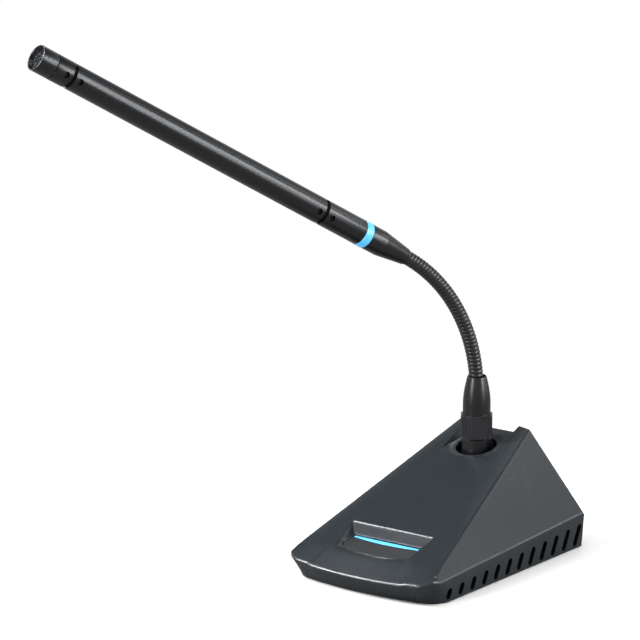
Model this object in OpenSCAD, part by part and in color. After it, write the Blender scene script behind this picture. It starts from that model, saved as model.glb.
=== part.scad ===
// Desk gooseneck microphone: a weighted wedge base with a lit talk key, a plug-in flexible neck
// and a long slim microphone tube. Millimetres, +Z up, the front is -Y.
// Origin: centre of the base's plan, on the desk.

/* [Base] */
// Depth of the base, front lip to back
base_d = 170.7; // [164:0.1:180]
// Width of the base at its back
base_w_back = 118.6; // [114:0.2:124]
// Width of the base at its front corners
base_w_front = 111.4; // [106:0.2:116]
// Height of the top edge, where the slope meets the back
base_h = 78; // [76:0.5:82]
// Height of the sloping top, carried on to the front lip
slope_front_z = 16.53; // [16:0.01:18]
// Lean of the back face, degrees
back_lean = 14.6; // [12:0.1:17]
// Width between the crests at the top edge
crest_w = 52.6; // [50:0.2:56]
// Radius of the rounded crests
crest_r = 9; // [6:0.5:11]
// Height of the lip at the front
lip_front_z = 13; // [12:0.1:14]
// Height of the lip at the back
lip_back_z = 23.3; // [22.5:0.1:25]
// Radius of the bowed front, in plan
nose_r = 260; // [200:5:320]
// Undercut of the front below its lip
nose_undercut = 7.6; // [6:0.1:9]
// Lean of the front above its lip, degrees from upright
nose_lean = 8; // [0:1:30]
// Radius of the front corners, in plan
corner_r = 9; // [7:0.5:12]
// Wall of the shell
wall = 2.5; // [2:0.1:2.8]
// Gap between the skirt and the desk
skirt_gap = 0.5; // [0.4:0.1:0.8]

/* [Vents] */
// Slots in each side of the skirt
vent_count = 12; // [6:1:13]
// Width of a slot
vent_w = 3.8; // [2:0.1:4.2]
// Lean of the slots towards the back, degrees
vent_lean = 20; // [10:0.5:25]
// Height of the front slot's top
vent_top_front = 9.2; // [8.6:0.1:9.6]
// Height of the back slot's top
vent_top_back = 16.4; // [12:0.1:17]
// Lowest point of the slots, above the desk
vent_z = 2; // [1.6:0.1:2.4]
// Top of the first slot, from the front lip
vent_start = 24.8; // [22:0.1:30]
// Top of the last slot, from the back
vent_end = 3.5; // [3:0.1:12]

/* [Terrace and socket] */
// Socket axis, from the back of the base
socket_setback = 36.7; // [35:0.1:39]
// Depth of the terrace below the slope, at the socket axis
terrace_depth = 3.1; // [2.6:0.1:3.6]
// Tilt of the terrace floor, degrees
terrace_tilt = 9.8; // [8:0.1:11]
// Width of the terrace where it cuts the slope
terrace_w = 37; // [35:0.5:39]
// Lean of the terrace's side walls, degrees from upright
terrace_wall_lean = 36; // [30:1:42]
// Diameter of the hole in the terrace
socket_hole_d = 26.4; // [24:0.1:28]
// Diameter of the socket pillar
pillar_d = 18.8; // [18.2:0.1:19.2]
// Stand of the pillar's shoulder above the terrace
pillar_stand = 5.8; // [4:0.1:8]
// Diameter of the pillar's foot flange
pillar_flange_d = 42; // [38:0.5:46]
// Thickness of the pillar's foot flange
pillar_flange_t = 4; // [3:0.1:5]
// Height of the threaded spigot on the pillar
spigot_h = 8; // [6:0.1:9]

/* [Talk key] */
// Back edge of the key, from the front lip
key_setback = 37.3; // [36:0.1:39]
// Depth of the key pocket below the slope, at its back
pocket_depth = 5.86; // [5.4:0.02:6.2]
// Tilt of the key and the pocket floor, degrees
key_tilt = 7; // [6:0.1:8]
// Width of the base beside the key, to the front corners
key_side = 30.1; // [29:0.05:32]
// Depth of the key, back edge to the middle of its front
key_d = 20.8; // [19:0.1:21]
// Radius of the key's bowed front edge
key_bow_r = 62; // [45:1:90]
// Radius of the key's front corners
key_corner_r = 6; // [3:0.5:8]
// Gap around the key
key_gap = 0.4; // [0.3:0.05:0.6]
// Travel of the key
key_travel = 1.5; // [1:0.1:1.8]
// Width of the light bar at the back of the key
bar_w = 2.4; // [1.8:0.1:3]
// Lean of the pocket's back wall, degrees from upright
pocket_back_lean = 29.6; // [24:0.2:34]
// Lean of the pocket's side walls, degrees from upright
pocket_side_lean = 30; // [24:0.5:34]
// Reach of the scoop past each side of the key
scoop_side = 2.8; // [2:0.1:4]
// Radius of the scoop's bowed top edge
scoop_bow_r = 110; // [80:5:160]
// Flare of the scoop's sides towards the lip, sideways per forward
scoop_flare = 0.46; // [0.3:0.01:0.55]

/* [Connector] */
// Diameter of the knurled lock ring
ring_d = 20; // [19.6:0.1:22]
// Height of the lock ring
ring_h = 14.4; // [13:0.1:17]
// Diameter of the plug shell at its foot
shell_d = 17.8; // [17.2:0.1:18.6]
// Diameter of the plug shell at its top
shell_top_d = 12.8; // [12.6:0.1:14]
// Height of the plug shell
shell_h = 25.5; // [22:0.1:30]
// Depth that the plug reaches into the socket
plug_depth = 18; // [15:0.2:20]
// Lift that frees the plug from its socket
plug_lift = 20; // [18:0.5:24]
// Diameter of a contact pin
pin_d = 1.6; // [1.4:0.1:1.8]

/* [Neck] */
// Outside diameter of the neck
neck_d = 9.3; // [8.8:0.1:9.6]
// Bore of the neck
neck_bore = 4.4; // [3.6:0.1:5]
// Length of a link, pivot to pivot
link_l = 10.56; // [9.6:0.02:12]
// Ribs on a link
link_ribs = 4; // [3:1:5]
// Depth of the groove between two ribs
rib_depth = 0.45; // [0.2:0.05:0.6]
// Lean of the root, degrees from upright
root_lean = 4.5; // [3:0.1:6]
// Length of the root, seat to first pivot
root_l = 12; // [11:0.1:14]
// Lean of the microphone tube, degrees from upright
arm_lean = 59.5; // [50:0.1:66]
// Turn of the arm from straight ahead towards the left, degrees
arm_turn = 23.4; // [0:0.1:40]

/* [Microphone tube] */
// Diameter of the tube
tube_d = 16.4; // [16:0.1:17.4]
// Wall of the tube
tube_wall = 1; // [0.8:0.05:1.3]
// First length of the tail, beside the neck, along the arm from the last pivot
tail_start = 5.3; // [5:0.1:7]
// Diameter of the tail's small end
tail_end_d = 10.6; // [10.4:0.1:11.4]
// Length of the tail's taper
tail_taper = 21; // [17:0.2:25]
// Length of the tail's straight part
tail_straight = 12; // [9:0.2:16]
// Width of the light ring
light_w = 5.6; // [4.4:0.1:7]
// Diameter of the light ring
light_d = 16.8; // [16.5:0.1:17.8]
// Length of the tube between the light ring and the front cap
tube_l = 244.3; // [220:0.5:270]
// Length of the front cap
cap_l = 12; // [11:0.1:14]
// Bore of the mouth
mouth_d = 14.7; // [14.2:0.1:15]
// Depth of the mesh inside the mouth
mesh_depth = 2.6; // [1.5:0.1:3.2]
// Width of the sound slots
slot_w = 2; // [1.4:0.1:2.6]
// Front sound slot, from the tube's front end
slot_front = 12.7; // [12.4:0.1:15]
// Rear sound slot, from the tube's back end
slot_rear = 32.4; // [28:0.2:38]
// Spacing between a sound slot and the screw hole on either side
slot_screw_gap = 5.2; // [4.4:0.1:6]
// Diameter of a screw hole in the tube
tube_hole_d = 3.5; // [3.2:0.1:4]

/* [Fasteners and fits] */
// Thickness of the bottom plate
plate_t = 2; // [1.6:0.1:2.4]
// Thickness of the steel ballast
ballast_t = 6; // [4:0.2:6.4]
// Diameter of a rubber foot
foot_d = 14; // [10:0.5:16]
// Height of a rubber foot
foot_h = 1.5; // [1.4:0.05:2]
// Diameter of the case screws
screw_d = 3; // [2.5:0.1:3.2]
// Thickness of a circuit board
board_t = 1.6; // [1:0.1:2]
// Height of the main board above the ballast
board_stand = 10.5; // [8:0.5:12]
// Bore of the rear jack
jack_bore = 6.5; // [6.4:0.05:6.7]
// Running gap between moving pieces
run_gap = 0.3; // [0.2:0.05:0.35]
// Assembly gap between fixed pieces that slide together
fit_gap = 0.1; // [0.05:0.01:0.15]

/* [Hidden] */
// Links between the neck's fixed root and its fixed tip
neck_links = 9;

$fn = 64;

// A length beyond every solid, for cutting planes
reach = 420;
// A small overshoot of cutters past the faces that they cut
over = 1;
// Excess of a rounding's radius, so that it crosses the faces that it joins
seam = 0.03;

// Base planes
back_y = base_d/2;
front_y = -base_d/2;
top_y = back_y - (base_h - lip_back_z)*tan(back_lean);
nose_y = front_y + nose_r;
slope_angle = atan((base_h - slope_front_z)/(top_y - front_y));
slope_n = [0, -sin(slope_angle), cos(slope_angle)];
back_n = [0, cos(back_lean), sin(back_lean)];
crest_top = [crest_w/2, top_y, base_h];
side_front = [base_w_front/2, front_y, lip_front_z];
side_back = [base_w_back/2, back_y, lip_back_z];
side_n = unit(cross(side_back - side_front, crest_top - side_front));

// Socket, terrace and pillar
socket_y = back_y - socket_setback;
terrace_z = slope_z(socket_y) - terrace_depth;
terrace_n = [0, -sin(terrace_tilt), cos(terrace_tilt)];
terrace_wall_n = [-cos(terrace_wall_lean), 0, 0] + sin(terrace_wall_lean)*slope_n;
plate_z = foot_h;
ballast_z = plate_z + plate_t;
floor_z = ballast_z + ballast_t;
shoulder_z = terrace_z + pillar_stand;
spigot_d = pillar_d - 2.8;
socket_bore = 13;
socket_floor_z = shoulder_z - 20;
insert_tower_d = 9.8;
insert_flange_h = 8;
insert_gap = 2;
contact_pcd = 5.6;
contact_wall = 0.5;

// Plug, lock ring and neck root
flange_z = shoulder_z + spigot_h + run_gap;
flange_t = 2.7;
ring_z = shoulder_z + run_gap;
shell_z = ring_z + ring_h + run_gap;
shell_top_z = shell_z + shell_h;
stem_d = ring_d - 5.8;
ring_bore_low = spigot_d + 2*run_gap;
ring_bore_top = stem_d + 2*run_gap;
ring_shoulder_z = flange_z + flange_t + run_gap;
nose_tube_d = socket_bore - 2*run_gap;
nose_tube_bore = insert_tower_d + 2*run_gap;
plug_bottom_z = flange_z - plug_depth;
plug_insert_t = 6;
root_seat_z = shell_top_z - 8.5;
shell_bore = neck_d + 1.8;
lead_bore = 6;

// Neck chain in the arm's plane, as forward and height
joint_count = neck_links + 1;
joint_bend = (arm_lean - root_lean)/joint_count;
root_foot = [0, root_seat_z];
pivot_first = root_foot + root_l*heading(root_lean);
ball_d = neck_d;
cup_d = neck_d + 2*run_gap;
cup_rim = sqrt(pow(cup_d/2, 2) - pow(neck_d/2, 2));
tip_l = 14;

// Stations along the arm, from the last pivot
taper_end = tail_start + tail_taper;
tail_end = taper_end + tail_straight;
tube_start = tail_end + light_w;
tube_end = tube_start + tube_l;
mouth = tube_end + cap_l;
tube_bore = tube_d - 2*tube_wall;
spigot_tail_d = tube_bore - 2*fit_gap;
light_bore = light_d - 3.4;
light_seat_d = light_bore - 2*fit_gap;
tail_spigot_l = 8;
tail_cavity_d = 11.4;
slot_front_s = tube_end - slot_front;
slot_rear_s = tube_start + slot_rear;
sleeve_d = tube_bore - 2*fit_gap;
sleeve_bore = 11.8;
sleeve_half = slot_screw_gap + tube_hole_d/2 + 1.4;
screw_side = -8;
slot_front_turn = -128;
slot_front_sweep = 180;
slot_rear_turn = -130;
slot_rear_sweep = 225;
tube_holes = [for (s = [slot_front_s, slot_rear_s]) each [s - slot_screw_gap, s + slot_screw_gap]];
cap_spigot_l = 3.6;
cap_bore = 13.2;
mesh_t = 0.8;
mesh_s = mouth - mesh_depth - mesh_t;
capsule_d = 10;
capsule_l = 9;
gasket_t = 0.6;
holder_s = mesh_s - gasket_t - 9;
preamp_l = 56;

// Key frame: back edge of the key on the pocket floor
key_w = base_w_front - 2*key_side;
scoop_w = key_w + 2*scoop_side;
key_y = front_y + key_setback;
key_z = slope_z(key_y) - pocket_depth;
key_n = [0, -sin(key_tilt), cos(key_tilt)];
pocket_back_n = [0, -cos(pocket_back_lean), sin(pocket_back_lean)];
pocket_side_n = [-cos(pocket_side_lean), 0, 0] + sin(pocket_side_lean)*key_n;
pocket_half = key_w/2 + 2*key_gap;
scoop_rim = 0.8;
scoop_start = key_d + key_gap + scoop_rim;
scoop_lip = 0.5;
scoop_wall = 0.8*wall;
lip_rel = [front_y - key_y, lip_front_z + 2*scoop_lip - key_z];
lip_key = [lip_rel*[cos(key_tilt), sin(key_tilt)], lip_rel*[-sin(key_tilt), cos(key_tilt)]];
scoop_fall = atan2(-lip_key[1], -lip_key[0] - scoop_start);
scoop_side_y = front_y + 22;
scoop_side_n = unit([-1, -tan(slope_angle) - scoop_flare, 1]);
key_plate_t = wall + 0.2;
key_flange_t = 1.2;
key_flange = 1.4;
flange_d = key_d - 4.5;
key_under = key_plate_t + key_flange_t;
bar_t = key_plate_t - 0.3;
bar_inset = 0.4;
switch_h = 3.6;
plunger_d = 3;
plunger_l = 3.1;
key_board_top = key_under + key_travel + 1 + switch_h;
key_post_x = key_w/2 + key_flange + 3.5;
key_post_d = 4.4;
key_post_y = [-5, -18];
key_screw_d = 2;
key_board_w = 2*key_post_x + 5;
key_board_front = key_d + 0.6;
key_board_d = key_d + 2;
key_board_gap = 0.6;

// Case bosses, feet and boards
boss_d = 8;
boss_front_edge = [16.65, 34.7];
boss_back_edge = [17, 24];
boss_front = [base_w_front/2 - boss_front_edge[0], front_y + boss_front_edge[1]];
boss_back = [base_w_back/2 - boss_back_edge[0], back_y - boss_back_edge[1]];
boss_spots = [for (s = [-1, 1], b = [boss_front, boss_back]) [s*b[0], b[1]]];
foot_front_edge = [18.45, 23.7];
foot_back_edge = [14, 12];
foot_front = [base_w_front/2 - foot_front_edge[0], front_y + foot_front_edge[1]];
foot_back = [base_w_back/2 - foot_back_edge[0], back_y - foot_back_edge[1]];
foot_middle = [0, 0];
foot_corners = [for (s = [-1, 1], f = [foot_front, foot_back]) [s*f[0], f[1]]];
foot_spots = concat(foot_corners, [foot_middle]);
screw_head_h = 1.2;
boss_thread = 10;
board_w = 72;
board_l = 36;
board_y = socket_y - pillar_flange_d/2 - board_l/2 - 6;
board_z = floor_z + board_stand;
board_edge = 4;
board_spots = [for (x = [-1, 1], y = [-1, 1]) [x*(board_w/2 - board_edge), y*(board_l/2 - board_edge)]];
standoff_d = 6;
jack_x = 30;
jack_z = floor_z + 7.2;
jack_thread_d = 9;
jack_body = [13, 16, 12];
jack_nut_t = 2;
jack_stand = 3.4;
pillar_screw_r = pillar_flange_d/2 - 5;

function unit(v) = v/norm(v);
function slope_z(y) = base_h - (top_y - y)*tan(slope_angle);
function heading(a) = [sin(a), cos(a)];
function link_lean(i) = root_lean + i*joint_bend;
function pivot(i) = i == 0 ? pivot_first : pivot(i - 1) + link_l*heading(link_lean(i));
function side_half(y, inset) =
    base_w_front/2 + (base_w_back - base_w_front)/2*(y - front_y)/base_d - inset;

// Everything on the normal's side of a plane
module beyond(p, n) {
    translate(p)
        rotate([0, acos(n[2]/norm(n)), atan2(n[1], n[0])])
            translate([-reach, -reach, 0])
                cube([2*reach, 2*reach, reach]);
}

// Children on both sides of the middle plane
module both_sides() {
    children();
    mirror([1, 0, 0]) children();
}

// A plate with straight sides and a bowed front with round corners, its front towards -Y
module bowed_outline(half_front, half_back, y_front, y_back, bow_r, corner) {
    side = unit([half_back - half_front, y_back - y_front]);
    inward = [-side[1], side[0]];
    bow_c = [0, y_front + bow_r];
    start = [half_front, y_front] + corner*inward - bow_c;
    along = start*side;
    run = -along - sqrt(along*along - start*start + pow(bow_r - corner, 2));
    c = bow_c + start + run*side;
    side_touch = c - corner*inward;
    bow_touch = bow_c + bow_r*unit(c - bow_c);
    tip = side_touch + bow_touch - c + over*unit(side_touch + bow_touch - 2*c);
    difference() {
        intersection() {
            polygon([
                [-half_front, y_front],
                [half_front, y_front],
                [half_back, y_back],
                [-half_back, y_back]
            ]);
            translate(bow_c) circle(r = bow_r, $fn = 200);
        }
        both_sides() difference() {
            polygon([c, side_touch - over*inward, tip, bow_touch + over*unit(c - bow_c)]);
            translate(c) circle(r = corner + seam);
        }
    }
}

// The front's form: an undercut cone below the lip and a leaning cone above it
module nose_form(inset) {
    low = -20;
    high = base_h + 20;
    undercut = nose_undercut/lip_front_z;
    r = nose_r - inset;
    translate([0, nose_y, 0])
        rotate_extrude($fn = 200)
            polygon([
                [0, low],
                [r - undercut*(lip_front_z - low), low],
                [r, lip_front_z],
                [r - tan(nose_lean)*(high - lip_front_z), high],
                [0, high]
            ]);
}

// The base's outer form, or that form moved inwards
module base_form(inset) {
    low = inset == 0 ? skirt_gap : -5;
    difference() {
        intersection() {
            translate([0, 0, low])
                linear_extrude(base_h + over - low)
                    bowed_outline(side_half(front_y, inset), side_half(back_y, inset), front_y + inset,
                        back_y - inset, nose_r - inset, corner_r - inset);
            nose_form(inset);
        }
        beyond(crest_top - inset*slope_n, slope_n);
        beyond(side_back - inset*back_n, back_n);
        both_sides() beyond(side_back - inset*side_n, side_n);
    }
}

// The sliver that rounds the right crest
module crest_sliver() {
    edge = unit(cross(slope_n, side_n));
    across = cross(edge, slope_n);
    side_2d = [side_n*slope_n, side_n*across];
    c = [-crest_r, (crest_r*side_2d[0] - crest_r)/side_2d[1]];
    slope_touch = [over, c[1]];
    side_touch = c + (crest_r + over)*side_2d;
    tip = over*unit([1, 0] + side_2d)*2;
    multmatrix([
        [slope_n[0], across[0], edge[0], crest_top[0]],
        [slope_n[1], across[1], edge[1], crest_top[1]],
        [slope_n[2], across[2], edge[2], crest_top[2]]
    ])
        translate([0, 0, -reach/2])
            linear_extrude(reach)
                difference() {
                    polygon([c, slope_touch, tip, side_touch]);
                    translate(c) circle(r = crest_r + seam);
                }
}

// The terrace notch around the socket, or that notch grown outwards
module terrace_cut(grow) {
    intersection() {
        beyond([0, socket_y, terrace_z] - grow*terrace_n, terrace_n);
        both_walls([terrace_w/2, socket_y, slope_z(socket_y)] - grow*terrace_wall_n, terrace_wall_n);
    }
}

// The space between a leaning right wall and its mirror image
module both_walls(p, n) {
    intersection() {
        beyond(p, n);
        mirror([1, 0, 0]) beyond(p, n);
    }
}

// The key pocket, or that pocket grown outwards
module pocket_cut(grow) {
    foot = [0, key_y + key_gap, key_z];
    intersection() {
        beyond([0, key_y, key_z] - grow*key_n, key_n);
        beyond(foot - grow*pocket_back_n, pocket_back_n);
        both_walls([pocket_half, key_y, key_z] - grow*pocket_side_n, pocket_side_n);
    }
}

// The scoop from the key's front down to the lip, or that scoop grown outwards
module scoop_cut(grow) {
    side = [scoop_w/2, scoop_side_y, slope_z(scoop_side_y)];
    inner = scoop_bow_r - 10;
    outer = scoop_bow_r + 40;
    drop = grow/cos(scoop_fall);
    intersection() {
        key_frame()
            translate([0, scoop_bow_r - scoop_start, 0])
                rotate_extrude($fn = 200)
                    polygon([
                        [inner, 10*tan(scoop_fall) - drop],
                        [outer, -40*tan(scoop_fall) - drop],
                        [outer, base_h],
                        [inner, base_h]
                    ]);
        both_walls(side - grow*scoop_side_n, scoop_side_n);
        translate([-reach/2, front_y - reach/2, lip_front_z + scoop_lip - grow])
            cube([reach, reach/2 + key_setback, reach]);
    }
}

// Children in the key's frame: X right, Y back along the pocket floor, Z out of it
module key_frame() {
    translate([0, key_y, key_z]) rotate([key_tilt, 0, 0]) children();
}

// The key's outline, or that outline grown
module key_outline(grow) {
    bowed_outline(key_w/2 + grow, key_w/2 + grow, -key_d - grow, grow - key_gap/2, key_bow_r + grow,
        key_corner_r + grow);
}

// One row of slanted round-ended vents through the right skirt
module vent_row() {
    step = (base_d - vent_start - vent_end)/(vent_count - 1);
    r = vent_w/2;
    for (i = [0:vent_count - 1]) {
        y = front_y + vent_start + i*step;
        top_z = vent_top_front + (vent_top_back - vent_top_front)*i/(vent_count - 1) - r;
        rise = top_z - vent_z - r;
        translate([side_half(y, 2*wall), y, top_z])
            rotate([-vent_lean, 0, 0])
                rotate([0, 90, 0]) {
                    cylinder(r = r, h = 4*wall, $fn = 32);
                    translate([rise/cos(vent_lean), 0, 0]) cylinder(r = r, h = 4*wall, $fn = 32);
                    translate([0, -r, 0]) cube([rise/cos(vent_lean), vent_w, 4*wall]);
                }
    }
}

// Screw bosses under the shell, down to the bottom plate
module boss_columns(grow) {
    for (b = boss_spots)
        translate([b[0], b[1], ballast_z])
            cylinder(d = boss_d + 2*grow, h = base_h);
}

// Posts under the pocket that carry the key board
module key_posts() {
    for (s = [-1, 1], y = key_post_y)
        translate([s*key_post_x, y, -key_board_top])
            cylinder(d = key_post_d, h = key_board_top);
}

module base_shell() {
    color([0.24, 0.25, 0.26])
        difference() {
            base_form(0);
            both_sides() crest_sliver();
            terrace_cut(0);
            pocket_cut(0);
            scoop_cut(0);
            difference() {
                base_form(wall);
                terrace_cut(wall);
                pocket_cut(wall);
                scoop_cut(scoop_wall);
                boss_columns(0);
                key_frame() key_posts();
            }
            translate([0, socket_y, floor_z]) cylinder(d = socket_hole_d, h = base_h);
            key_frame()
                translate([0, 0, -key_under - 2*wall])
                    linear_extrude(key_under + 2*wall + over)
                        key_outline(key_gap);
            both_sides() vent_row();
            for (b = boss_spots)
                translate([b[0], b[1], 0])
                    cylinder(d = screw_d + 2*fit_gap, h = ballast_z + boss_thread);
            key_frame()
                for (s = [-1, 1], y = key_post_y)
                    translate([s*key_post_x, y, -key_board_top - over])
                        cylinder(d = key_screw_d + 2*fit_gap, h = over + 5);
            translate([jack_x, back_y - 2*wall, jack_z])
                rotate([-90, 0, 0])
                    cylinder(d = jack_thread_d + 2*fit_gap, h = 4*wall);
        }
}

module bottom_plate() {
    color([0.12, 0.12, 0.13])
        difference() {
            intersection() {
                base_form(wall + run_gap);
                translate([-reach/2, -reach/2, plate_z]) cube([reach, reach, plate_t]);
            }
            for (b = boss_spots)
                translate([b[0], b[1], 0])
                    cylinder(d = screw_d + 4*fit_gap, h = base_h);
        }
}

module ballast_plate() {
    color([0.45, 0.45, 0.46])
        difference() {
            intersection() {
                base_form(wall + 5*run_gap);
                translate([-reach/2, -reach/2, ballast_z]) cube([reach, reach, ballast_t]);
            }
            boss_columns(run_gap);
            for (a = [30:120:270])
                translate([0, socket_y, 0])
                    rotate(a)
                        translate([pillar_screw_r, 0, 0])
                            cylinder(d = screw_d + 2*fit_gap, h = base_h);
            for (b = board_spots)
                translate([b[0], board_y + b[1], 0])
                    cylinder(d = screw_d + 2*fit_gap, h = base_h);
            key_board_room();
        }
}

// Room for the key board and its screw heads
module key_board_room() {
    under = -key_board_top - board_t - key_board_gap;
    key_frame() {
        translate([-key_board_w/2 - key_board_gap, -key_board_front - key_board_gap, under])
            cube([key_board_w + 2*key_board_gap, key_board_d + 2*key_board_gap, base_h]);
        for (s = [-1, 1], y = key_post_y)
            translate([s*key_post_x, y, under - screw_head_h])
                cylinder(r = key_screw_d + key_board_gap, h = base_h);
    }
}

module rubber_feet() {
    color([0.07, 0.07, 0.07])
        for (f = foot_spots)
            translate([f[0], f[1], 0])
                cylinder(d = foot_d, h = foot_h);
}

// A pan-head screw whose head seats on Z = 0 and whose shank runs up
module screw(d, l, head_h) {
    rotate_extrude()
        polygon([[0, l], [d/2, l], [d/2, 0], [d, 0], [d, -0.6*head_h], [0.75*d, -head_h], [0, -head_h]]);
}

module bottom_screws() {
    color([0.3, 0.3, 0.31])
        for (b = boss_spots)
            translate([b[0], b[1], plate_z])
                screw(screw_d, plate_t + boss_thread - over, screw_head_h);
}

module socket_pillar() {
    color([0.13, 0.13, 0.14])
        translate([0, socket_y, 0])
            difference() {
                rotate_extrude()
                    polygon([
                        [lead_bore/2, floor_z],
                        [pillar_flange_d/2, floor_z],
                        [pillar_flange_d/2, floor_z + pillar_flange_t],
                        [pillar_d/2, floor_z + pillar_flange_t],
                        [pillar_d/2, shoulder_z],
                        [spigot_d/2, shoulder_z],
                        [spigot_d/2, shoulder_z + spigot_h],
                        [socket_bore/2, shoulder_z + spigot_h],
                        [socket_bore/2, socket_floor_z],
                        [lead_bore/2, socket_floor_z]
                    ]);
                for (a = [30:120:270])
                    rotate(a)
                        translate([pillar_screw_r, 0, floor_z - over])
                            cylinder(d = screw_d + 2*fit_gap, h = pillar_flange_t + 2*over);
                translate([0, 0, floor_z + 2.5*pillar_flange_t])
                    rotate([90, 0, 0])
                        cylinder(d = lead_bore, h = pillar_d);
            }
}

module socket_screws() {
    color([0.5, 0.5, 0.52])
        for (a = [30:120:270])
            translate([0, socket_y, floor_z + pillar_flange_t])
                rotate(a)
                    translate([pillar_screw_r, 0, 0])
                        mirror([0, 0, 1])
                            screw(screw_d, pillar_flange_t + ballast_t - over, screw_head_h + over);
}

// Places of the three contacts around the socket axis
module contacts() {
    for (a = [90:120:330])
        rotate(a)
            translate([contact_pcd/2, 0, 0])
                children();
}

module socket_insert() {
    tower_top = flange_z - plug_insert_t - insert_gap;
    color([0.1, 0.1, 0.1])
        translate([0, socket_y, 0])
            difference() {
                union() {
                    translate([0, 0, socket_floor_z])
                        cylinder(d = socket_bore - 2*fit_gap, h = insert_flange_h);
                    translate([0, 0, socket_floor_z])
                        cylinder(d = insert_tower_d, h = tower_top - socket_floor_z);
                }
                translate([0, 0, socket_floor_z + 2])
                    contacts()
                        cylinder(d = pin_d + 4*fit_gap + 2*contact_wall, h = base_h, $fn = 32);
            }
}

module socket_contacts() {
    contact_h = flange_z - plug_insert_t - insert_gap - socket_floor_z - 3;
    color([0.75, 0.62, 0.32])
        translate([0, socket_y, socket_floor_z + 2])
            contacts()
                difference() {
                    cylinder(d = pin_d + 2*fit_gap + 2*contact_wall, h = contact_h, $fn = 32);
                    translate([0, 0, over]) cylinder(d = pin_d + 2*fit_gap, h = base_h, $fn = 32);
                }
}

module main_board() {
    color([0.1, 0.3, 0.16])
        difference() {
            translate([-board_w/2, board_y - board_l/2, board_z]) cube([board_w, board_l, board_t]);
            for (b = board_spots)
                translate([b[0], board_y + b[1], board_z - over])
                    cylinder(d = screw_d + 2*fit_gap, h = board_t + 2*over, $fn = 32);
        }
}

module board_standoffs() {
    color([0.72, 0.6, 0.3])
        for (b = board_spots)
            translate([b[0], board_y + b[1], floor_z])
                difference() {
                    cylinder(d = standoff_d, h = board_stand, $fn = 6);
                    translate([0, 0, -over])
                        cylinder(d = screw_d + 2*fit_gap, h = board_stand + 2*over, $fn = 32);
                }
}

module board_screws() {
    color([0.6, 0.6, 0.62])
        for (b = board_spots)
            translate([b[0], board_y + b[1], board_z + board_t])
                mirror([0, 0, 1])
                    screw(screw_d, board_t + board_stand + ballast_t - over, screw_head_h + over);
}

module board_parts() {
    chip = [12, 8, 2];
    can_d = 7;
    header = [14, 5, 6];
    color([0.09, 0.09, 0.1])
        translate([0, board_y, board_z + board_t]) {
            translate([-chip[0]/2, -chip[1]/2, 0]) cube(chip);
            for (x = [-20, 20])
                translate([x, 5, 0])
                    cylinder(d = can_d, h = 10);
            translate([-header[0]/2, board_l/2 - header[1] - 2, 0]) cube(header);
        }
}

module rear_jack() {
    color([0.08, 0.08, 0.09])
        translate([jack_x, back_y - wall, jack_z])
            difference() {
                union() {
                    translate([-jack_body[0]/2, -jack_body[1], -jack_body[2]/2]) cube(jack_body);
                    rotate([-90, 0, 0]) cylinder(d = jack_thread_d, h = wall + jack_stand);
                }
                rotate([90, 0, 0])
                    translate([0, 0, -wall - jack_stand - over])
                        cylinder(d = jack_bore, h = jack_body[1] - 2 + wall + jack_stand + over);
            }
}

module jack_nut() {
    color([0.62, 0.62, 0.64])
        translate([jack_x, back_y, jack_z])
            rotate([-90, 0, 0])
                difference() {
                    cylinder(d = jack_thread_d + 4.6, h = jack_nut_t, $fn = 6);
                    translate([0, 0, -over])
                        cylinder(d = jack_thread_d + fit_gap, h = jack_nut_t + 2*over);
                }
}

module key_board() {
    color([0.1, 0.3, 0.16])
        key_frame()
            difference() {
                translate([-key_board_w/2, -key_board_front, -key_board_top - board_t])
                    cube([key_board_w, key_board_d, board_t]);
                for (s = [-1, 1], y = key_post_y)
                    translate([s*key_post_x, y, -key_board_top - board_t - over])
                        cylinder(d = key_screw_d + 2*fit_gap, h = board_t + 2*over, $fn = 32);
            }
}

module key_board_screws() {
    color([0.6, 0.6, 0.62])
        key_frame()
            for (s = [-1, 1], y = key_post_y)
                translate([s*key_post_x, y, -key_board_top - board_t])
                    screw(key_screw_d, board_t + 4, screw_head_h);
}

module key_switch() {
    side = 6.2;
    color([0.15, 0.15, 0.16])
        key_frame()
            translate([0, -key_d/2, -key_board_top])
                difference() {
                    translate([-side/2, -side/2, 0]) cube([side, side, switch_h]);
                    translate([0, 0, switch_h - key_travel - 1])
                        cylinder(d = plunger_d + 2*run_gap, h = switch_h, $fn = 32);
                }
}

module key_leds() {
    led = [3.2, 1.6, 1.2];
    color([0.9, 0.93, 0.95])
        key_frame()
            for (x = [-2:2])
                translate([x*key_w/6 - led[0]/2, -bar_inset - bar_w, -key_board_top])
                    cube(led);
}

module talk_key() {
    color([0.2, 0.2, 0.2])
        key_frame()
            difference() {
                union() {
                    translate([0, 0, -key_plate_t]) linear_extrude(key_plate_t) key_outline(0);
                    translate([-key_w/2 - key_flange, -flange_d, -key_under])
                        cube([key_w + 2*key_flange, flange_d + key_flange, key_flange_t]);
                    intersection() {
                        translate([0, 0, -key_under]) linear_extrude(key_flange_t) key_outline(0);
                        translate([-key_w/2, -key_d, -key_under]) cube([key_w, key_d, key_flange_t]);
                    }
                }
                translate([-key_w, -bar_inset - bar_w, -bar_t])
                    cube([2*key_w, key_d, 2*bar_t]);
            }
}

module key_light_bar() {
    color([0.37, 0.8, 1])
        key_frame()
            intersection() {
                translate([-key_w/2 + bar_inset, -bar_inset - bar_w + fit_gap, -bar_t])
                    cube([key_w - 2*bar_inset, bar_w, bar_t]);
                translate([0, 0, -bar_t]) linear_extrude(2*bar_t) key_outline(0);
            }
}

module switch_plunger() {
    color([0.85, 0.85, 0.83])
        key_frame()
            translate([0, -key_d/2, -key_under - plunger_l])
                cylinder(d = plunger_d, h = plunger_l, $fn = 32);
}

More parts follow.
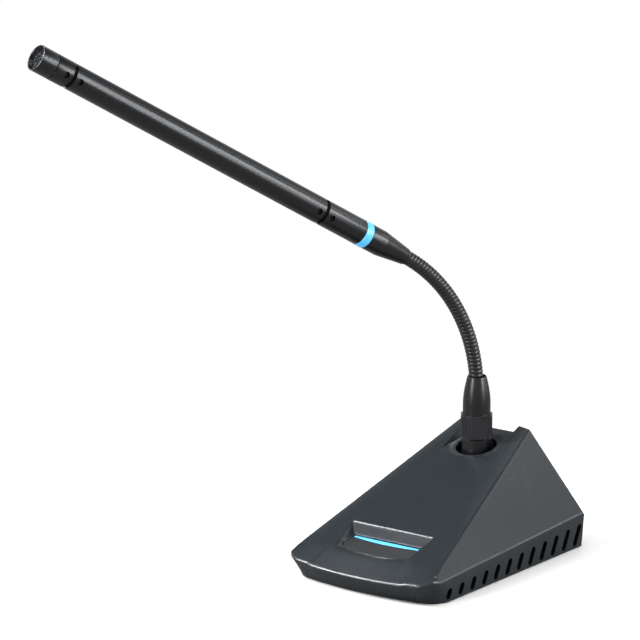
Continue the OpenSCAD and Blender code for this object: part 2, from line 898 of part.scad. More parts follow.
module plug_shell() {
    r = shell_d/2;
    top_r = shell_top_d/2;
    edge = 0.5;
    steps = 8;
    straight = 0.28;
    taper = 0.66;
    color([0.15, 0.15, 0.16])
        translate([0, socket_y, 0])
            rotate_extrude()
                polygon([
                    [nose_tube_bore/2, plug_bottom_z],
                    [nose_tube_d/2, plug_bottom_z],
                    [nose_tube_d/2, flange_z],
                    [spigot_d/2, flange_z],
                    [spigot_d/2, flange_z + flange_t],
                    [stem_d/2, flange_z + flange_t],
                    [stem_d/2, shell_z],
                    [r, shell_z],
                    each [for (k = [0:steps])
                        let (t = k/steps)
                        [r - (r - top_r)*pow(t, 1.8), shell_z + shell_h*(straight + taper*t)]],
                    [top_r - edge, shell_top_z],
                    [shell_bore/2, shell_top_z],
                    [shell_bore/2, root_seat_z],
                    [lead_bore/2, root_seat_z],
                    [lead_bore/2, shell_z],
                    [nose_tube_bore/2, shell_z - 2]
                ]);
}

module plug_insert() {
    color([0.08, 0.08, 0.08])
        translate([0, socket_y, flange_z - plug_insert_t])
            difference() {
                cylinder(d = nose_tube_bore - 2*fit_gap, h = plug_insert_t);
                contacts()
                    translate([0, 0, -over])
                        cylinder(d = pin_d + fit_gap, h = plug_insert_t + 2*over, $fn = 32);
            }
}

module plug_pins() {
    reach_down = plug_depth - plug_insert_t - 3;
    color([0.78, 0.65, 0.35])
        translate([0, socket_y, flange_z - plug_insert_t - reach_down])
            contacts()
                cylinder(d = pin_d, h = reach_down + plug_insert_t + over, $fn = 32);
}

module lock_ring() {
    chamfer = 0.7;
    r = ring_d/2;
    color([0.2, 0.2, 0.21])
        translate([0, socket_y, 0])
            rotate_extrude()
                polygon([
                    [ring_bore_low/2, ring_z],
                    [r - chamfer/2, ring_z],
                    [r, ring_z + chamfer/2],
                    [r, ring_z + ring_h - chamfer],
                    [r - chamfer, ring_z + ring_h],
                    [ring_bore_top/2, ring_z + ring_h],
                    [ring_bore_top/2, ring_shoulder_z],
                    [ring_bore_low/2, ring_shoulder_z]
                ]);
}

// Children in the arm's plane: forward is -Y, Z up, on the socket axis
module arm_plane() {
    translate([0, socket_y, 0]) rotate([0, 0, -arm_turn]) children();
}

// Children at a pivot of the neck, with Z along a link that leans by the given angle
module at_pivot(i, lean) {
    p = pivot(i);
    arm_plane()
        translate([0, -p[0], p[1]])
            rotate([lean, 0, 0])
                children();
}

// A ribbed length of neck along Z
module ribbed_rod(z0, z1, ribs) {
    pitch = (z1 - z0)/ribs;
    r = neck_d/2;
    rotate_extrude()
        polygon([
            [0, z0],
            each [for (k = [0:ribs - 1]) each [
                [r - rib_depth, z0 + k*pitch],
                [r, z0 + (k + 0.3)*pitch],
                [r, z0 + (k + 0.7)*pitch]
            ]],
            [r - rib_depth, z1],
            [0, z1]
        ]);
}

// One link: a cup over the ball below it and a ball at its own upper pivot
module neck_link(i) {
    color([0.16, 0.16, 0.17])
        at_pivot(i - 1, link_lean(i))
            difference() {
                union() {
                    ribbed_rod(0, link_l, link_ribs);
                    translate([0, 0, link_l]) sphere(d = ball_d - 2*rib_depth);
                }
                sphere(d = cup_d);
                translate([0, 0, -over]) cylinder(d = neck_bore, h = link_l + ball_d, $fn = 32);
            }
}

module neck_root() {
    foot_l = root_l + neck_d;
    color([0.16, 0.16, 0.17])
        difference() {
            at_pivot(0, root_lean)
                difference() {
                    union() {
                        ribbed_rod(-foot_l, 0, round(foot_l*link_ribs/link_l));
                        sphere(d = ball_d - 2*rib_depth);
                    }
                    translate([0, 0, -2*foot_l]) cylinder(d = neck_bore, h = 3*foot_l, $fn = 32);
                }
            translate([-neck_d, socket_y - neck_d, root_seat_z - reach]) cube([2*neck_d, 2*neck_d, reach]);
        }
}

module neck_tip() {
    color([0.16, 0.16, 0.17])
        at_pivot(neck_links, arm_lean)
            difference() {
                ribbed_rod(0, tip_l, round(tip_l*link_ribs/link_l));
                sphere(d = cup_d);
                translate([0, 0, -over]) cylinder(d = neck_bore, h = tip_l + 2*over, $fn = 32);
            }
}

// Children in the arm's frame: Z along the tube from the last pivot towards the mouth
module arm() {
    at_pivot(neck_links, arm_lean) children();
}

// A revolved piece of the arm from a list of radius and station pairs
module turned(points) {
    arm() rotate_extrude() polygon(points);
}

module tail_cone() {
    r_end = tail_end_d/2;
    r = tube_d/2;
    seat = neck_d/2 + fit_gap;
    round_r = 0.8*(r_end - seat);
    window_d = 3;
    color([0.13, 0.13, 0.14])
        difference() {
            turned([
                [seat, tail_start],
                [r_end - round_r, tail_start],
                [r_end - 0.3*round_r, tail_start + 0.3*round_r],
                [r_end, tail_start + round_r],
                [r, taper_end],
                [r, tail_end],
                [light_seat_d/2, tail_end],
                [light_seat_d/2, tube_start],
                [spigot_tail_d/2, tube_start],
                [spigot_tail_d/2, tube_start + tail_spigot_l],
                [tail_cavity_d/2, tube_start + tail_spigot_l],
                [tail_cavity_d/2, tip_l + 3],
                [neck_bore/2, tip_l + 3],
                [neck_bore/2, tip_l],
                [seat, tip_l]
            ]);
            arm()
                translate([0, 0, tail_end + light_w/2])
                    for (a = [0, 90])
                        rotate([90, 0, a])
                            translate([0, 0, -tube_d])
                                cylinder(d = window_d, h = 2*tube_d, $fn = 32);
        }
}

module light_ring() {
    round_r = 0.5;
    r = light_d/2;
    color([0.45, 0.78, 0.95])
        turned([
            [light_bore/2, tail_end],
            [r - round_r, tail_end],
            [r, tail_end + round_r],
            [r, tube_start - round_r],
            [r - round_r, tube_start],
            [light_bore/2, tube_start]
        ]);
}

module ring_led_board() {
    r = tail_cavity_d/2 - fit_gap;
    s = tail_end + light_w/2 + 2;
    color([0.1, 0.3, 0.16]) turned([[0, s], [r, s], [r, s + board_t], [0, s + board_t]]);
}

// A slot through the tube's wall, round part of it
module tube_slot(s, from, sweep) {
    arm()
        translate([0, 0, s - slot_w/2])
            rotate(from)
                rotate_extrude(angle = sweep)
                    translate([tube_bore/2 - over, 0])
                        square([tube_wall + 2*over, slot_w]);
}

// Children at each screw hole of the tube, with Z pointing out of its side
module at_tube_holes() {
    arm()
        rotate(screw_side)
            for (s = tube_holes)
                translate([0, 0, s])
                    rotate([0, 90, 0])
                        children();
}

module mic_tube() {
    color([0.13, 0.13, 0.14])
        difference() {
            turned([
                [tube_bore/2, tube_start],
                [tube_d/2, tube_start],
                [tube_d/2, tube_end],
                [tube_bore/2, tube_end]
            ]);
            tube_slot(slot_front_s, slot_front_turn, slot_front_sweep);
            tube_slot(slot_rear_s, slot_rear_turn, slot_rear_sweep);
            at_tube_holes() cylinder(d = tube_hole_d, h = tube_d, $fn = 32);
        }
}

// A sleeve inside the tube behind a sound slot
module sleeve(s) {
    color([0.06, 0.06, 0.06])
        difference() {
            turned([
                [sleeve_bore/2, s - sleeve_half],
                [sleeve_d/2, s - sleeve_half],
                [sleeve_d/2, s + sleeve_half],
                [sleeve_bore/2, s + sleeve_half]
            ]);
            at_tube_holes() cylinder(d = screw_d + 2*fit_gap, h = tube_d, $fn = 32);
        }
}

module rear_sleeve() {
    sleeve(slot_rear_s);
}

module front_sleeve() {
    sleeve(slot_front_s);
}

module set_screws() {
    hex = 1.6;
    depth = 0.5;
    color([0.22, 0.22, 0.23])
        at_tube_holes()
            difference() {
                translate([0, 0, sleeve_bore/2 + fit_gap])
                    cylinder(d = screw_d, h = tube_d/2 - depth - sleeve_bore/2 - fit_gap, $fn = 32);
                translate([0, 0, tube_d/2 - 3*depth])
                    cylinder(d = hex, h = tube_d, $fn = 6);
            }
}

module front_cap() {
    chamfer = 0.6;
    r = tube_d/2;
    color([0.14, 0.14, 0.15])
        turned([
            [cap_bore/2, tube_end - cap_spigot_l],
            [spigot_tail_d/2, tube_end - cap_spigot_l],
            [spigot_tail_d/2, tube_end],
            [r, tube_end],
            [r, mouth - chamfer],
            [r - 0.4*chamfer, mouth],
            [mouth_d/2, mouth],
            [mouth_d/2, mesh_s],
            [cap_bore/2, mesh_s]
        ]);
}

module mouth_mesh() {
    r = mouth_d/2 - fit_gap;
    color([0.3, 0.3, 0.31]) turned([[0, mesh_s], [r, mesh_s], [r, mesh_s + mesh_t], [0, mesh_s + mesh_t]]);
}

module capsule() {
    s = mesh_s - gasket_t - capsule_l;
    r = capsule_d/2;
    color([0.66, 0.62, 0.5])
        turned([[0, s], [r, s], [r, s + capsule_l - 0.4], [r - 0.4, s + capsule_l], [0, s + capsule_l]]);
}

module capsule_holder() {
    r_out = cap_bore/2 - fit_gap;
    r_in = capsule_d/2 + fit_gap;
    top = mesh_s - gasket_t;
    color([0.1, 0.1, 0.1]) turned([[r_in, holder_s], [r_out, holder_s], [r_out, top], [r_in, top]]);
}

module capsule_gasket() {
    r_out = cap_bore/2 - fit_gap;
    r_in = capsule_d/2 - 1;
    s = mesh_s - gasket_t;
    color([0.08, 0.08, 0.08]) turned([[r_in, s], [r_out, s], [r_out, mesh_s], [r_in, mesh_s]]);
}

module preamp_board() {
    half = sqrt(pow(sleeve_bore/2, 2) - pow(board_t/2, 2)) - fit_gap;
    color([0.1, 0.3, 0.16])
        arm()
            translate([-half, -board_t/2, slot_front_s + sleeve_half - preamp_l])
                cube([2*half, board_t, preamp_l]);
}

base_shell();
bottom_plate();
ballast_plate();
rubber_feet();
bottom_screws();
socket_pillar();
socket_screws();
socket_insert();
socket_contacts();
main_board();
board_standoffs();
board_screws();
board_parts();
rear_jack();
jack_nut();
key_board();
key_board_screws();
key_switch();
key_leds();
talk_key();
key_light_bar();
switch_plunger();
plug_shell();
plug_insert();
plug_pins();
neck_root();
lock_ring();
for (i = [1:neck_links])
    neck_link(i);
neck_tip();
tail_cone();
light_ring();
ring_led_board();
mic_tube();
rear_sleeve();
front_sleeve();
set_screws();
front_cap();
mouth_mesh();
capsule();
capsule_holder();
capsule_gasket();
preamp_board();
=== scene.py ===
"""Finishes a desk microphone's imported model: moulded base, talk key, connector, wound neck, tube and stage."""
import math

import bmesh
import bpy
import numpy as np
from bpy.props import FloatProperty, FloatVectorProperty, IntProperty, PointerProperty
from mathutils import Matrix, Vector


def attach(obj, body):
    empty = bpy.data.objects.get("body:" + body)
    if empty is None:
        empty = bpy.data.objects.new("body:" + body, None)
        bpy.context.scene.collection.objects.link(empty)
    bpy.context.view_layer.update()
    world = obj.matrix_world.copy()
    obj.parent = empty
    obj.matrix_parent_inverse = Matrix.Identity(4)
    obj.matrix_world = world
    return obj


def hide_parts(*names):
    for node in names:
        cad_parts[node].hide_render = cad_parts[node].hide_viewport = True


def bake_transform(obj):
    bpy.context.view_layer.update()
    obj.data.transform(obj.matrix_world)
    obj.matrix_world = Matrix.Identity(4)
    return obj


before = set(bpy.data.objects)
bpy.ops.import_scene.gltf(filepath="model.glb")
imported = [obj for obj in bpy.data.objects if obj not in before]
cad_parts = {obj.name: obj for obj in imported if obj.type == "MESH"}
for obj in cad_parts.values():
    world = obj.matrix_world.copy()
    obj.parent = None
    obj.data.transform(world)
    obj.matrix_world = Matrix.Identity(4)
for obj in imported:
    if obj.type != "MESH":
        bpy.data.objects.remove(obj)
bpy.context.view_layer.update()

bl_info = {
    "name": "Desk Microphone",
    "version": (1, 0, 0),
    "blender": (4, 5, 0),
    "location": "3D View > Sidebar > Microphone",
    "description": "Finishes a desk microphone: base, talk key, connector, wound neck, tube and studio",
    "category": "Object",
}
MM = 0.001


# Properties

def length(name, text, mm):
    return FloatProperty(name=name, description=text, default=mm * MM, unit="LENGTH", precision=5)


def angle(name, text, degrees):
    return FloatProperty(name=name, description=text, default=math.radians(degrees), unit="ROTATION")


def count(name, text, value):
    return IntProperty(name=name, description=text, default=value, min=1)


def amount(name, text, value):
    return FloatProperty(name=name, description=text, default=value, min=0.0)


def colour(name, text, value):
    return FloatVectorProperty(name=name, description=text, default=value, size=3, subtype="COLOR", min=0.0,
                               max=1.0)


class BaseSizes(bpy.types.PropertyGroup):
    depth: length("Depth", "Front lip to back", 170.7)
    width_back: length("Back width", "Width of the base at its back", 118.5)
    width_front: length("Front width", "Width of the base at its front corners", 111.4)
    height: length("Height", "Height of the top edge", 78)
    slope: angle("Slope", "Fall of the sloping top", 21.45)
    back_lean: angle("Back lean", "Lean of the back face", 14.6)
    crest_width: length("Crest width", "Width between the crests at the top edge", 50)
    crest_round: length("Crest round", "Run of the rolled band beside the side face at the back", 7)
    crest_front: length("Crest front", "Run of the rolled band beside the side face at the front", 5)
    crest_fall: amount("Crest fall", "Fall of the rolled band below the slope, per run", 0.2)
    lip_front: length("Front lip", "Height of the side lips at the front", 14.5)
    lip_back: length("Back lip", "Height of the lip at the back", 23.3)
    edge_middle: length("Front edge", "Height of the top at the middle of its front edge", 12.5)
    edge_corner: length("Corner edge", "Height of the top at its front corners", 15.3)
    nose_fall: angle("Front fall", "Fall of the top behind the middle of its front edge", 33)
    corner_fall: angle("Corner fall", "Fall of the top behind its front corners", 27)
    lip_margin: length("Lip margin", "Edge of the top that the rounded lip takes up", 2.2)
    lip_run: length("Lip run", "Run of the front lip's bevel", 1.0)
    lip_drop: length("Lip drop", "Fall of the front lip's bevel", 1.3)
    lip_side_run: length("Side lip run", "Run of the side lip's bevel", 0.5)
    lip_side_drop: length("Side lip drop", "Fall of the side lip's bevel", 1.5)
    nose_radius: length("Front bow", "Radius of the lip's bowed front in plan", 420)
    corner: length("Front corners", "Radius of the front corners in plan", 12)
    foot_front: length("Foot front width", "Width of the skirt's foot at its front", 109.6)
    foot_back: length("Foot back width", "Width of the skirt's foot at its back", 115.6)
    foot_setback: length("Undercut", "Setback of the skirt's foot below the front lip", 7.3)
    foot_bow: length("Foot bow", "Radius of the foot's bowed front in plan", 230)
    foot_corner: length("Foot corners", "Radius of the foot's front corners in plan", 15)
    wall: length("Wall", "Thickness of the shell", 2.5)
    skirt_gap: length("Skirt gap", "Gap between the skirt and the desk", 0.5)
    vents: count("Slots", "Slots in each side of the skirt", 12)
    vent_width: length("Slot width", "Width of a slot", 4.6)
    vent_lean: angle("Slot lean", "Lean of the slots towards the back", 20)
    vent_top_front: length("Front slot top", "Height of the front slot's top", 9.2)
    vent_top_back: length("Back slot top", "Height of the back slot's top", 16.4)
    vent_low: length("Slot foot", "Lowest point of the slots", 2)
    vent_start: length("First slot", "Top of the first slot, from the front lip", 24.8)
    vent_end: length("Last slot", "Top of the last slot, from the back", 4.8)
    socket_setback: length("Socket", "Socket axis, from the back of the base", 36.7)
    terrace_depth: length("Terrace depth", "Depth of the terrace below the slope at the socket", 2.6)
    terrace_tilt: angle("Terrace tilt", "Tilt of the terrace floor", 12.5)
    terrace_width: length("Terrace width", "Width of the terrace where it cuts the slope", 37)
    terrace_lean: angle("Terrace walls", "Lean of the terrace walls, from upright", 36)
    dish_depth: length("Dish depth", "Depth of the shallow dish round the socket", 0.55)
    dish_run: length("Dish run", "Run of the dish's rim", 5)
    socket_hole: length("Socket hole", "Diameter of the hole in the terrace", 26.4)
    jack_x: length("Jack offset", "Rear jack, from the middle", 30)
    jack_z: length("Jack height", "Rear jack, above the desk", 16.7)
    jack_hole: length("Jack hole", "Diameter of the hole for the jack", 9.2)
    foot_height: length("Feet", "Height of the rubber feet", 1.5)
    plate: length("Bottom plate", "Thickness of the bottom plate", 2)


class KeySizes(bpy.types.PropertyGroup):
    setback: length("Setback", "Back edge of the key, from the front lip", 37.3)
    pocket_depth: length("Pocket depth", "Depth of the pocket below the slope at its back", 5.86)
    tilt: angle("Tilt", "Tilt of the key and the pocket floor", 7)
    width: length("Width", "Width of the key", 51.2)
    depth: length("Depth", "Back edge to the middle of the front", 20.8)
    bow: length("Front bow", "Radius of the bowed front edge", 62)
    corner: length("Corners", "Radius of the front corners", 6)
    gap: length("Gap", "Gap around the key", 0.4)
    plate: length("Plate", "Thickness of the key", 2.7)
    edge: length("Edge", "Rounding of the key's edges", 0.5)
    bar: length("Light bar", "Width of the light bar at its ends", 1.5)
    bar_bow: length("Bar bow", "Bow of the light bar's front edge", 2.2)
    back_lean: angle("Back wall", "Lean of the pocket's back wall, from upright", 29.6)
    side_lean: angle("Side walls", "Lean of the pocket's side walls, from upright", 34)
    scoop_width: length("Scoop width", "Width of the scoop beside the key's front corners", 56.8)
    scoop_start: length("Scoop start", "Scoop's top edge, from the gap round the key", 0.8)
    scoop_back: length("Scoop back", "Where the scoop has its width, from the front lip", 22)
    scoop_bow: length("Scoop bow", "Radius of the scoop's bowed top edge", 110)
    scoop_flare: amount("Scoop flare", "Flare of the scoop's sides, sideways per forward", 0.52)
    dots: count("Touch dots", "Raised dots along the front edge", 33)
    dot: length("Dot size", "Diameter of a touch dot", 0.75)


class ConnectorSizes(bpy.types.PropertyGroup):
    pillar: length("Pillar", "Diameter of the socket pillar", 18.8)
    stand: length("Pillar stand", "Shoulder of the pillar above the terrace", 5.3)
    step: length("Pillar step", "Width of the shoulder round the spigot", 1.4)
    spigot: length("Spigot", "Height of the threaded spigot", 8)
    ring: length("Lock ring", "Diameter of the lock ring over its knurl", 20.3)
    ring_height: length("Ring height", "Height of the lock ring", 14.4)
    ring_wall: length("Ring wall", "Outside of the lock ring to the plug's stem", 2.9)
    ridges: count("Ridges", "Ridges of the knurl", 60)
    ridge: length("Ridge height", "Height of a ridge", 0.28)
    shell: length("Shell foot", "Diameter of the plug shell at its foot", 17.8)
    shell_top: length("Shell top", "Diameter of the plug shell at its top", 12.8)
    shell_height: length("Shell height", "Height of the plug shell", 25.5)
    flange: length("Flange", "Thickness of the plug's flange inside the ring", 2.7)
    gap: length("Running gap", "Gap between moving pieces", 0.3)


class NeckSizes(bpy.types.PropertyGroup):
    diameter: length("Diameter", "Outside diameter of the neck", 9.3)
    link: length("Joint spacing", "Distance between two joints", 10.56)
    links: count("Links", "Links between the root and the tip", 9)
    pitch: length("Winding pitch", "Distance between two turns", 2.64)
    groove: length("Groove", "Depth of the groove between two turns", 0.55)
    rings: count("Rings", "Rings of the mesh in one turn of the winding", 14)
    segments: count("Segments", "Segments of the mesh round the neck", 48)
    tail: length("End", "End of the neck inside the tail, from the last joint", 10)
    root_lean: angle("Root lean", "Lean of the root, from upright", 4.5)
    root: length("Root", "Length of the root, seat to first joint", 12)
    seat: length("Seat", "Depth of the root's seat below the shell's top", 8.5)
    arm_lean: angle("Tube lean", "Lean of the tube, from upright", 59.5)
    arm_turn: angle("Turn", "Turn of the arm towards the left", 23.4)


class TubeSizes(bpy.types.PropertyGroup):
    diameter: length("Diameter", "Diameter of the tube", 16.4)
    wall: length("Wall", "Wall of the tube", 1)
    tail_start: length("Tail start", "Start of the tail, from the last joint", 5.3)
    tail_end: length("Tail end", "Diameter of the tail's small end", 10.6)
    taper: length("Taper", "Length of the tail's taper", 21)
    straight: length("Straight", "Length of the tail's straight part", 12)
    light_width: length("Light ring width", "Width of the light ring", 5.6)
    light: length("Light ring", "Diameter of the light ring", 16.8)
    barrel: length("Barrel", "Length of the tube, light ring to front cap", 244.3)
    cap: length("Cap", "Length of the front cap", 12)
    mouth: length("Mouth", "Bore of the mouth", 14.7)
    mesh_depth: length("Mesh depth", "Depth of the mesh in the mouth", 2.6)
    mesh_pitch: length("Mesh pitch", "Distance between two wires", 0.7)
    mesh_wire: length("Mesh wire", "Diameter of a wire", 0.3)
    slot: length("Slot", "Width of the sound slots", 2.5)
    slot_front: length("Front slot", "Front sound slot, from the tube's front end", 12.7)
    slot_rear: length("Rear slot", "Rear sound slot, from the tube's back end", 32.4)
    screw_gap: length("Screw spacing", "Sound slot to screw hole", 5.2)
    screw_hole: length("Screw hole", "Diameter of a screw hole", 4.1)


class Finishes(bpy.types.PropertyGroup):
    shell: colour("Base", "Moulded plastic of the base", (0.020, 0.024, 0.027))
    key: colour("Key", "Plastic of the talk key", (0.022, 0.022, 0.023))
    metal: colour("Black metal", "Coated metal of the tube and connector", (0.006, 0.006, 0.007))
    neck: colour("Neck", "Coated wire of the neck", (0.012, 0.012, 0.013))
    light: colour("Light", "Light bar and light ring", (0.09, 0.42, 0.78))
    rubber: colour("Rubber", "Feet and seals", (0.012, 0.012, 0.012))
    steel: colour("Steel", "Screws, nut and mesh", (0.40, 0.40, 0.41))
    brass: colour("Brass", "Contacts and standoffs", (0.55, 0.38, 0.14))
    board: colour("Board", "Solder mask of the boards", (0.012, 0.075, 0.030))
    ground: colour("Ground", "Studio floor", (0.93, 0.905, 0.88))


GROUPS = {"mic_base": BaseSizes, "mic_key": KeySizes, "mic_connector": ConnectorSizes, "mic_neck": NeckSizes,
          "mic_tube": TubeSizes, "mic_finish": Finishes}


# Node graphs

class Wire:
    """A node socket that takes part in arithmetic: each operator adds a Math node to its graph."""

    def __init__(self, graph, socket):
        self.graph = graph
        self.socket = socket

    def __add__(self, other):
        return self.graph.math("ADD", self, other)

    def __radd__(self, other):
        return self.graph.math("ADD", other, self)

    def __sub__(self, other):
        return self.graph.math("SUBTRACT", self, other)

    def __rsub__(self, other):
        return self.graph.math("SUBTRACT", other, self)

    def __mul__(self, other):
        return self.graph.math("MULTIPLY", self, other)

    def __rmul__(self, other):
        return self.graph.math("MULTIPLY", other, self)

    def __truediv__(self, other):
        return self.graph.math("DIVIDE", self, other)

    def __rtruediv__(self, other):
        return self.graph.math("DIVIDE", other, self)

    def __pow__(self, other):
        return self.graph.math("POWER", self, other)

    def __abs__(self):
        return self.graph.math("ABSOLUTE", self)


class Graph:
    """A node tree that is filled from Python expressions."""

    def __init__(self, tree):
        self.tree = tree
        self.tree.nodes.clear()

    def node(self, kind, sockets=None, settings=None, out=0):
        """Adds a node. A socket takes a value, a wire or a list of wires; a tuple of outputs gives a list."""
        node = self.tree.nodes.new(kind)
        for key, value in (settings or {}).items():
            setattr(node, key, value)
        for key, value in (sockets or {}).items():
            wires = value if isinstance(value, list) else [value]
            for wire in wires:
                if isinstance(wire, Wire):
                    self.tree.links.new(wire.socket, node.inputs[key])
                else:
                    node.inputs[key].default_value = wire
        if isinstance(out, tuple):
            return [Wire(self, node.outputs[name]) for name in out]
        return Wire(self, node.outputs[out]) if node.outputs else None

    def math(self, operation, *values):
        return self.node("ShaderNodeMath", dict(enumerate(values)), {"operation": operation})

    def vector(self, operation, *values, out=0):
        sockets = {0: values[0], 3: values[1]} if operation == "SCALE" else dict(enumerate(values))
        return self.node("ShaderNodeVectorMath", sockets, {"operation": operation}, out)

    def blend(self, factor, a, b):
        return self.node("ShaderNodeMix", {0: factor, 6: a, 7: b}, {"data_type": "RGBA"}, 2)

    def parts(self, vector):
        return self.node("ShaderNodeSeparateXYZ", {0: vector}, out=(0, 1, 2))

    def xyz(self, x, y, z):
        return self.node("ShaderNodeCombineXYZ", {0: x, 1: y, 2: z})

    def step(self, value, low, high):
        return self.node("ShaderNodeMapRange", {"Value": value, "From Min": low, "From Max": high},
                         {"interpolation_type": "SMOOTHSTEP"})


def rgba(tone, gain=1.0):
    return tuple(min(1.0, c * gain) for c in tone[:3]) + (1.0,)


def finish(name):
    """A new material, its graph, and its Object coordinates."""
    material = bpy.data.materials.new(name)
    material.use_nodes = True
    graph = Graph(material.node_tree)
    return material, graph, graph.node("ShaderNodeTexCoord", out="Object")


def close(graph, sockets):
    shader = graph.node("ShaderNodeBsdfPrincipled", sockets)
    graph.node("ShaderNodeOutputMaterial", {"Surface": shader})


def noise(graph, place, scale, detail):
    return graph.node("ShaderNodeTexNoise", {"Vector": place, "Scale": scale, "Detail": detail})


def bump(graph, height, strength, reach):
    return graph.node("ShaderNodeBump", {"Strength": strength, "Distance": reach, "Height": height})


def moulded(name, tone, rough, grain=1400.0, depth=0.00004, specular=0.5):
    """Moulded plastic with a fine spark-eroded grain and a slight unevenness of gloss."""
    material, graph, place = finish(name)
    fine = noise(graph, place, grain, 3.0)
    broad = noise(graph, place, 26.0, 2.0)
    close(graph, {
        "Base Color": graph.blend(broad, rgba(tone, 0.9), rgba(tone, 1.1)),
        "Roughness": rough - 0.04 + broad * 0.05 + fine * 0.03,
        "Specular IOR Level": specular,
        "Normal": bump(graph, fine, 0.25, depth),
    })
    return material


def coated(name, tone, rough, specular=0.5):
    """Metal under a thin satin black coat."""
    material, graph, place = finish(name)
    fine = noise(graph, place, 2200.0, 2.0)
    broad = noise(graph, place, 40.0, 2.0)
    close(graph, {
        "Base Color": graph.blend(broad, rgba(tone, 0.85), rgba(tone, 1.15)),
        "Roughness": rough - 0.02 + broad * 0.03 + fine * 0.01,
        "Specular IOR Level": specular,
        "Normal": bump(graph, fine, 0.05, 0.00001),
    })
    return material


def bare_metal(name, tone, rough):
    """Turned or drawn metal with fine streaks."""
    material, graph, place = finish(name)
    streak = noise(graph, graph.vector("MULTIPLY", place, (1.0, 1.0, 9.0)), 500.0, 3.0)
    close(graph, {
        "Base Color": graph.blend(streak, rgba(tone, 0.8), rgba(tone, 1.15)),
        "Metallic": 1.0,
        "Roughness": rough - 0.05 + streak * 0.12,
        "Normal": bump(graph, streak, 0.1, 0.00002),
    })
    return material


def rubber(name, tone):
    """Matt rubber with a dusty bloom."""
    material, graph, place = finish(name)
    bloom = noise(graph, place, 160.0, 4.0)
    close(graph, {
        "Base Color": graph.blend(bloom, rgba(tone, 0.8), rgba(tone, 1.5)),
        "Roughness": 0.78 + bloom * 0.15,
        "Specular IOR Level": 0.3,
        "Normal": bump(graph, noise(graph, place, 1800.0, 2.0), 0.3, 0.00005),
    })
    return material


def lit_guide(name, tone, glow):
    """A lit light guide, a little uneven along its length."""
    material, graph, place = finish(name)
    patch = noise(graph, place, 90.0, 1.0)
    hue = graph.blend(patch, rgba(tone, 0.9), rgba(tone, 1.15))
    close(graph, {
        "Base Color": hue,
        "Roughness": 0.22 + patch * 0.1,
        "Emission Color": hue,
        "Emission Strength": glow,
    })
    return material


def circuit(name, tone):
    """Solder mask over tracks."""
    material, graph, place = finish(name)
    x, y, _ = graph.parts(place)
    tracks = graph.step(abs(graph.math("SINE", (x + y * 0.4) * 3200.0)), 0.72, 0.8)
    close(graph, {
        "Base Color": graph.blend(tracks, rgba(tone), rgba(tone, 1.9)),
        "Roughness": 0.34 + tracks * 0.1,
        "Normal": bump(graph, tracks, 0.3, 0.00004),
    })
    return material


def make_materials():
    """The object's finishes, made once and kept under their own names."""
    f = bpy.context.scene.mic_finish
    recipes = {
        "moulded shell": lambda n: moulded(n, f.shell, 0.27, specular=0.35),
        "key plastic": lambda n: moulded(n, f.key, 0.5, 900.0, 0.00007, 0.35),
        "dark plastic": lambda n: moulded(n, (0.012, 0.012, 0.013), 0.55),
        # Near black, matt and almost without gloss: painted shade in the skirt's slots and on the sleeves behind
        # the tube's slots
        "slot lining": lambda n: moulded(n, (0.006, 0.006, 0.006), 0.8, 900.0, 0.00005, 0.1),
        "black coat": lambda n: coated(n, f.metal, 0.3, specular=0.4),
        "ring coat": lambda n: coated(n, (0.013, 0.013, 0.015), 0.28, specular=0.6),
        "neck coat": lambda n: coated(n, f.neck, 0.32),
        "plate coat": lambda n: coated(n, (0.014, 0.014, 0.015), 0.55),
        # Steel kept far darker than its own tone: painted shade on the ballast plate seen through the skirt's
        # slots
        "ballast steel": lambda n: bare_metal(n, (0.03, 0.03, 0.032), 0.5),
        "screw steel": lambda n: bare_metal(n, f.steel, 0.3),
        "dark screw": lambda n: bare_metal(n, (0.05, 0.05, 0.052), 0.35),
        "mesh wire": lambda n: bare_metal(n, (0.045, 0.045, 0.05), 0.4),
        # Lighter metal on the mouth's bead: a painted highlight round the brim
        "worn edge": lambda n: bare_metal(n, (0.13, 0.135, 0.15), 0.3),
        "contact brass": lambda n: bare_metal(n, f.brass, 0.28),
        "foot rubber": lambda n: rubber(n, f.rubber),
        "key light": lambda n: lit_guide(n, f.light, 0.9),
        "ring light": lambda n: lit_guide(n, f.light, 0.5),
        "board mask": lambda n: circuit(n, f.board),
    }
    for name, recipe in recipes.items():
        if name not in bpy.data.materials:
            recipe(name)


def material_of(name):
    make_materials()
    return bpy.data.materials[name]


# Mesh helpers

def new_object(name, mesh):
    obj = bpy.data.objects.new(name, mesh)
    bpy.context.scene.collection.objects.link(obj)
    return obj


def mesh_from(name, verts, faces):
    mesh = bpy.data.meshes.new(name)
    mesh.from_pydata([tuple(map(float, v)) for v in verts], [], [tuple(map(int, f)) for f in faces])
    return mesh


def quads(rows, columns, first=0, around=(False, False)):
    """Faces of a grid whose vertices run row by row, closed from its last row or column to its first if asked."""
    faces = []
    for r in range(rows if around[0] else rows - 1):
        a, b = first + r * columns, first + (r + 1) % rows * columns
        for c in range(columns if around[1] else columns - 1):
            d = (c + 1) % columns
            faces.append((a + c, a + d, b + d, b + c))
    return faces


def tidy(mesh, sharp=32.0, outward=True):
    """Merges doubles, drops slivers, points the faces outwards and keeps edges crisp above an angle."""
    bm = bmesh.new()
    bm.from_mesh(mesh)
    bmesh.ops.remove_doubles(bm, verts=bm.verts, dist=2e-6)
    bmesh.ops.dissolve_degenerate(bm, edges=bm.edges, dist=1e-6)
    if outward:
        bmesh.ops.recalc_face_normals(bm, faces=bm.faces)
    for face in bm.faces:
        face.smooth = True
    bm.to_mesh(mesh)
    bm.free()
    mesh.set_sharp_from_angle(angle=math.radians(sharp))
    return mesh


def seat(obj, body, slot, material, *nodes):
    """Gives a finished piece its material and its body, and hides the nodes that it stands for; the slot is not
    used.
    """
    if material:
        obj.data.materials.clear()
        obj.data.materials.append(material_of(material))
    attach(obj, body)
    if nodes:
        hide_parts(*nodes)
    return obj


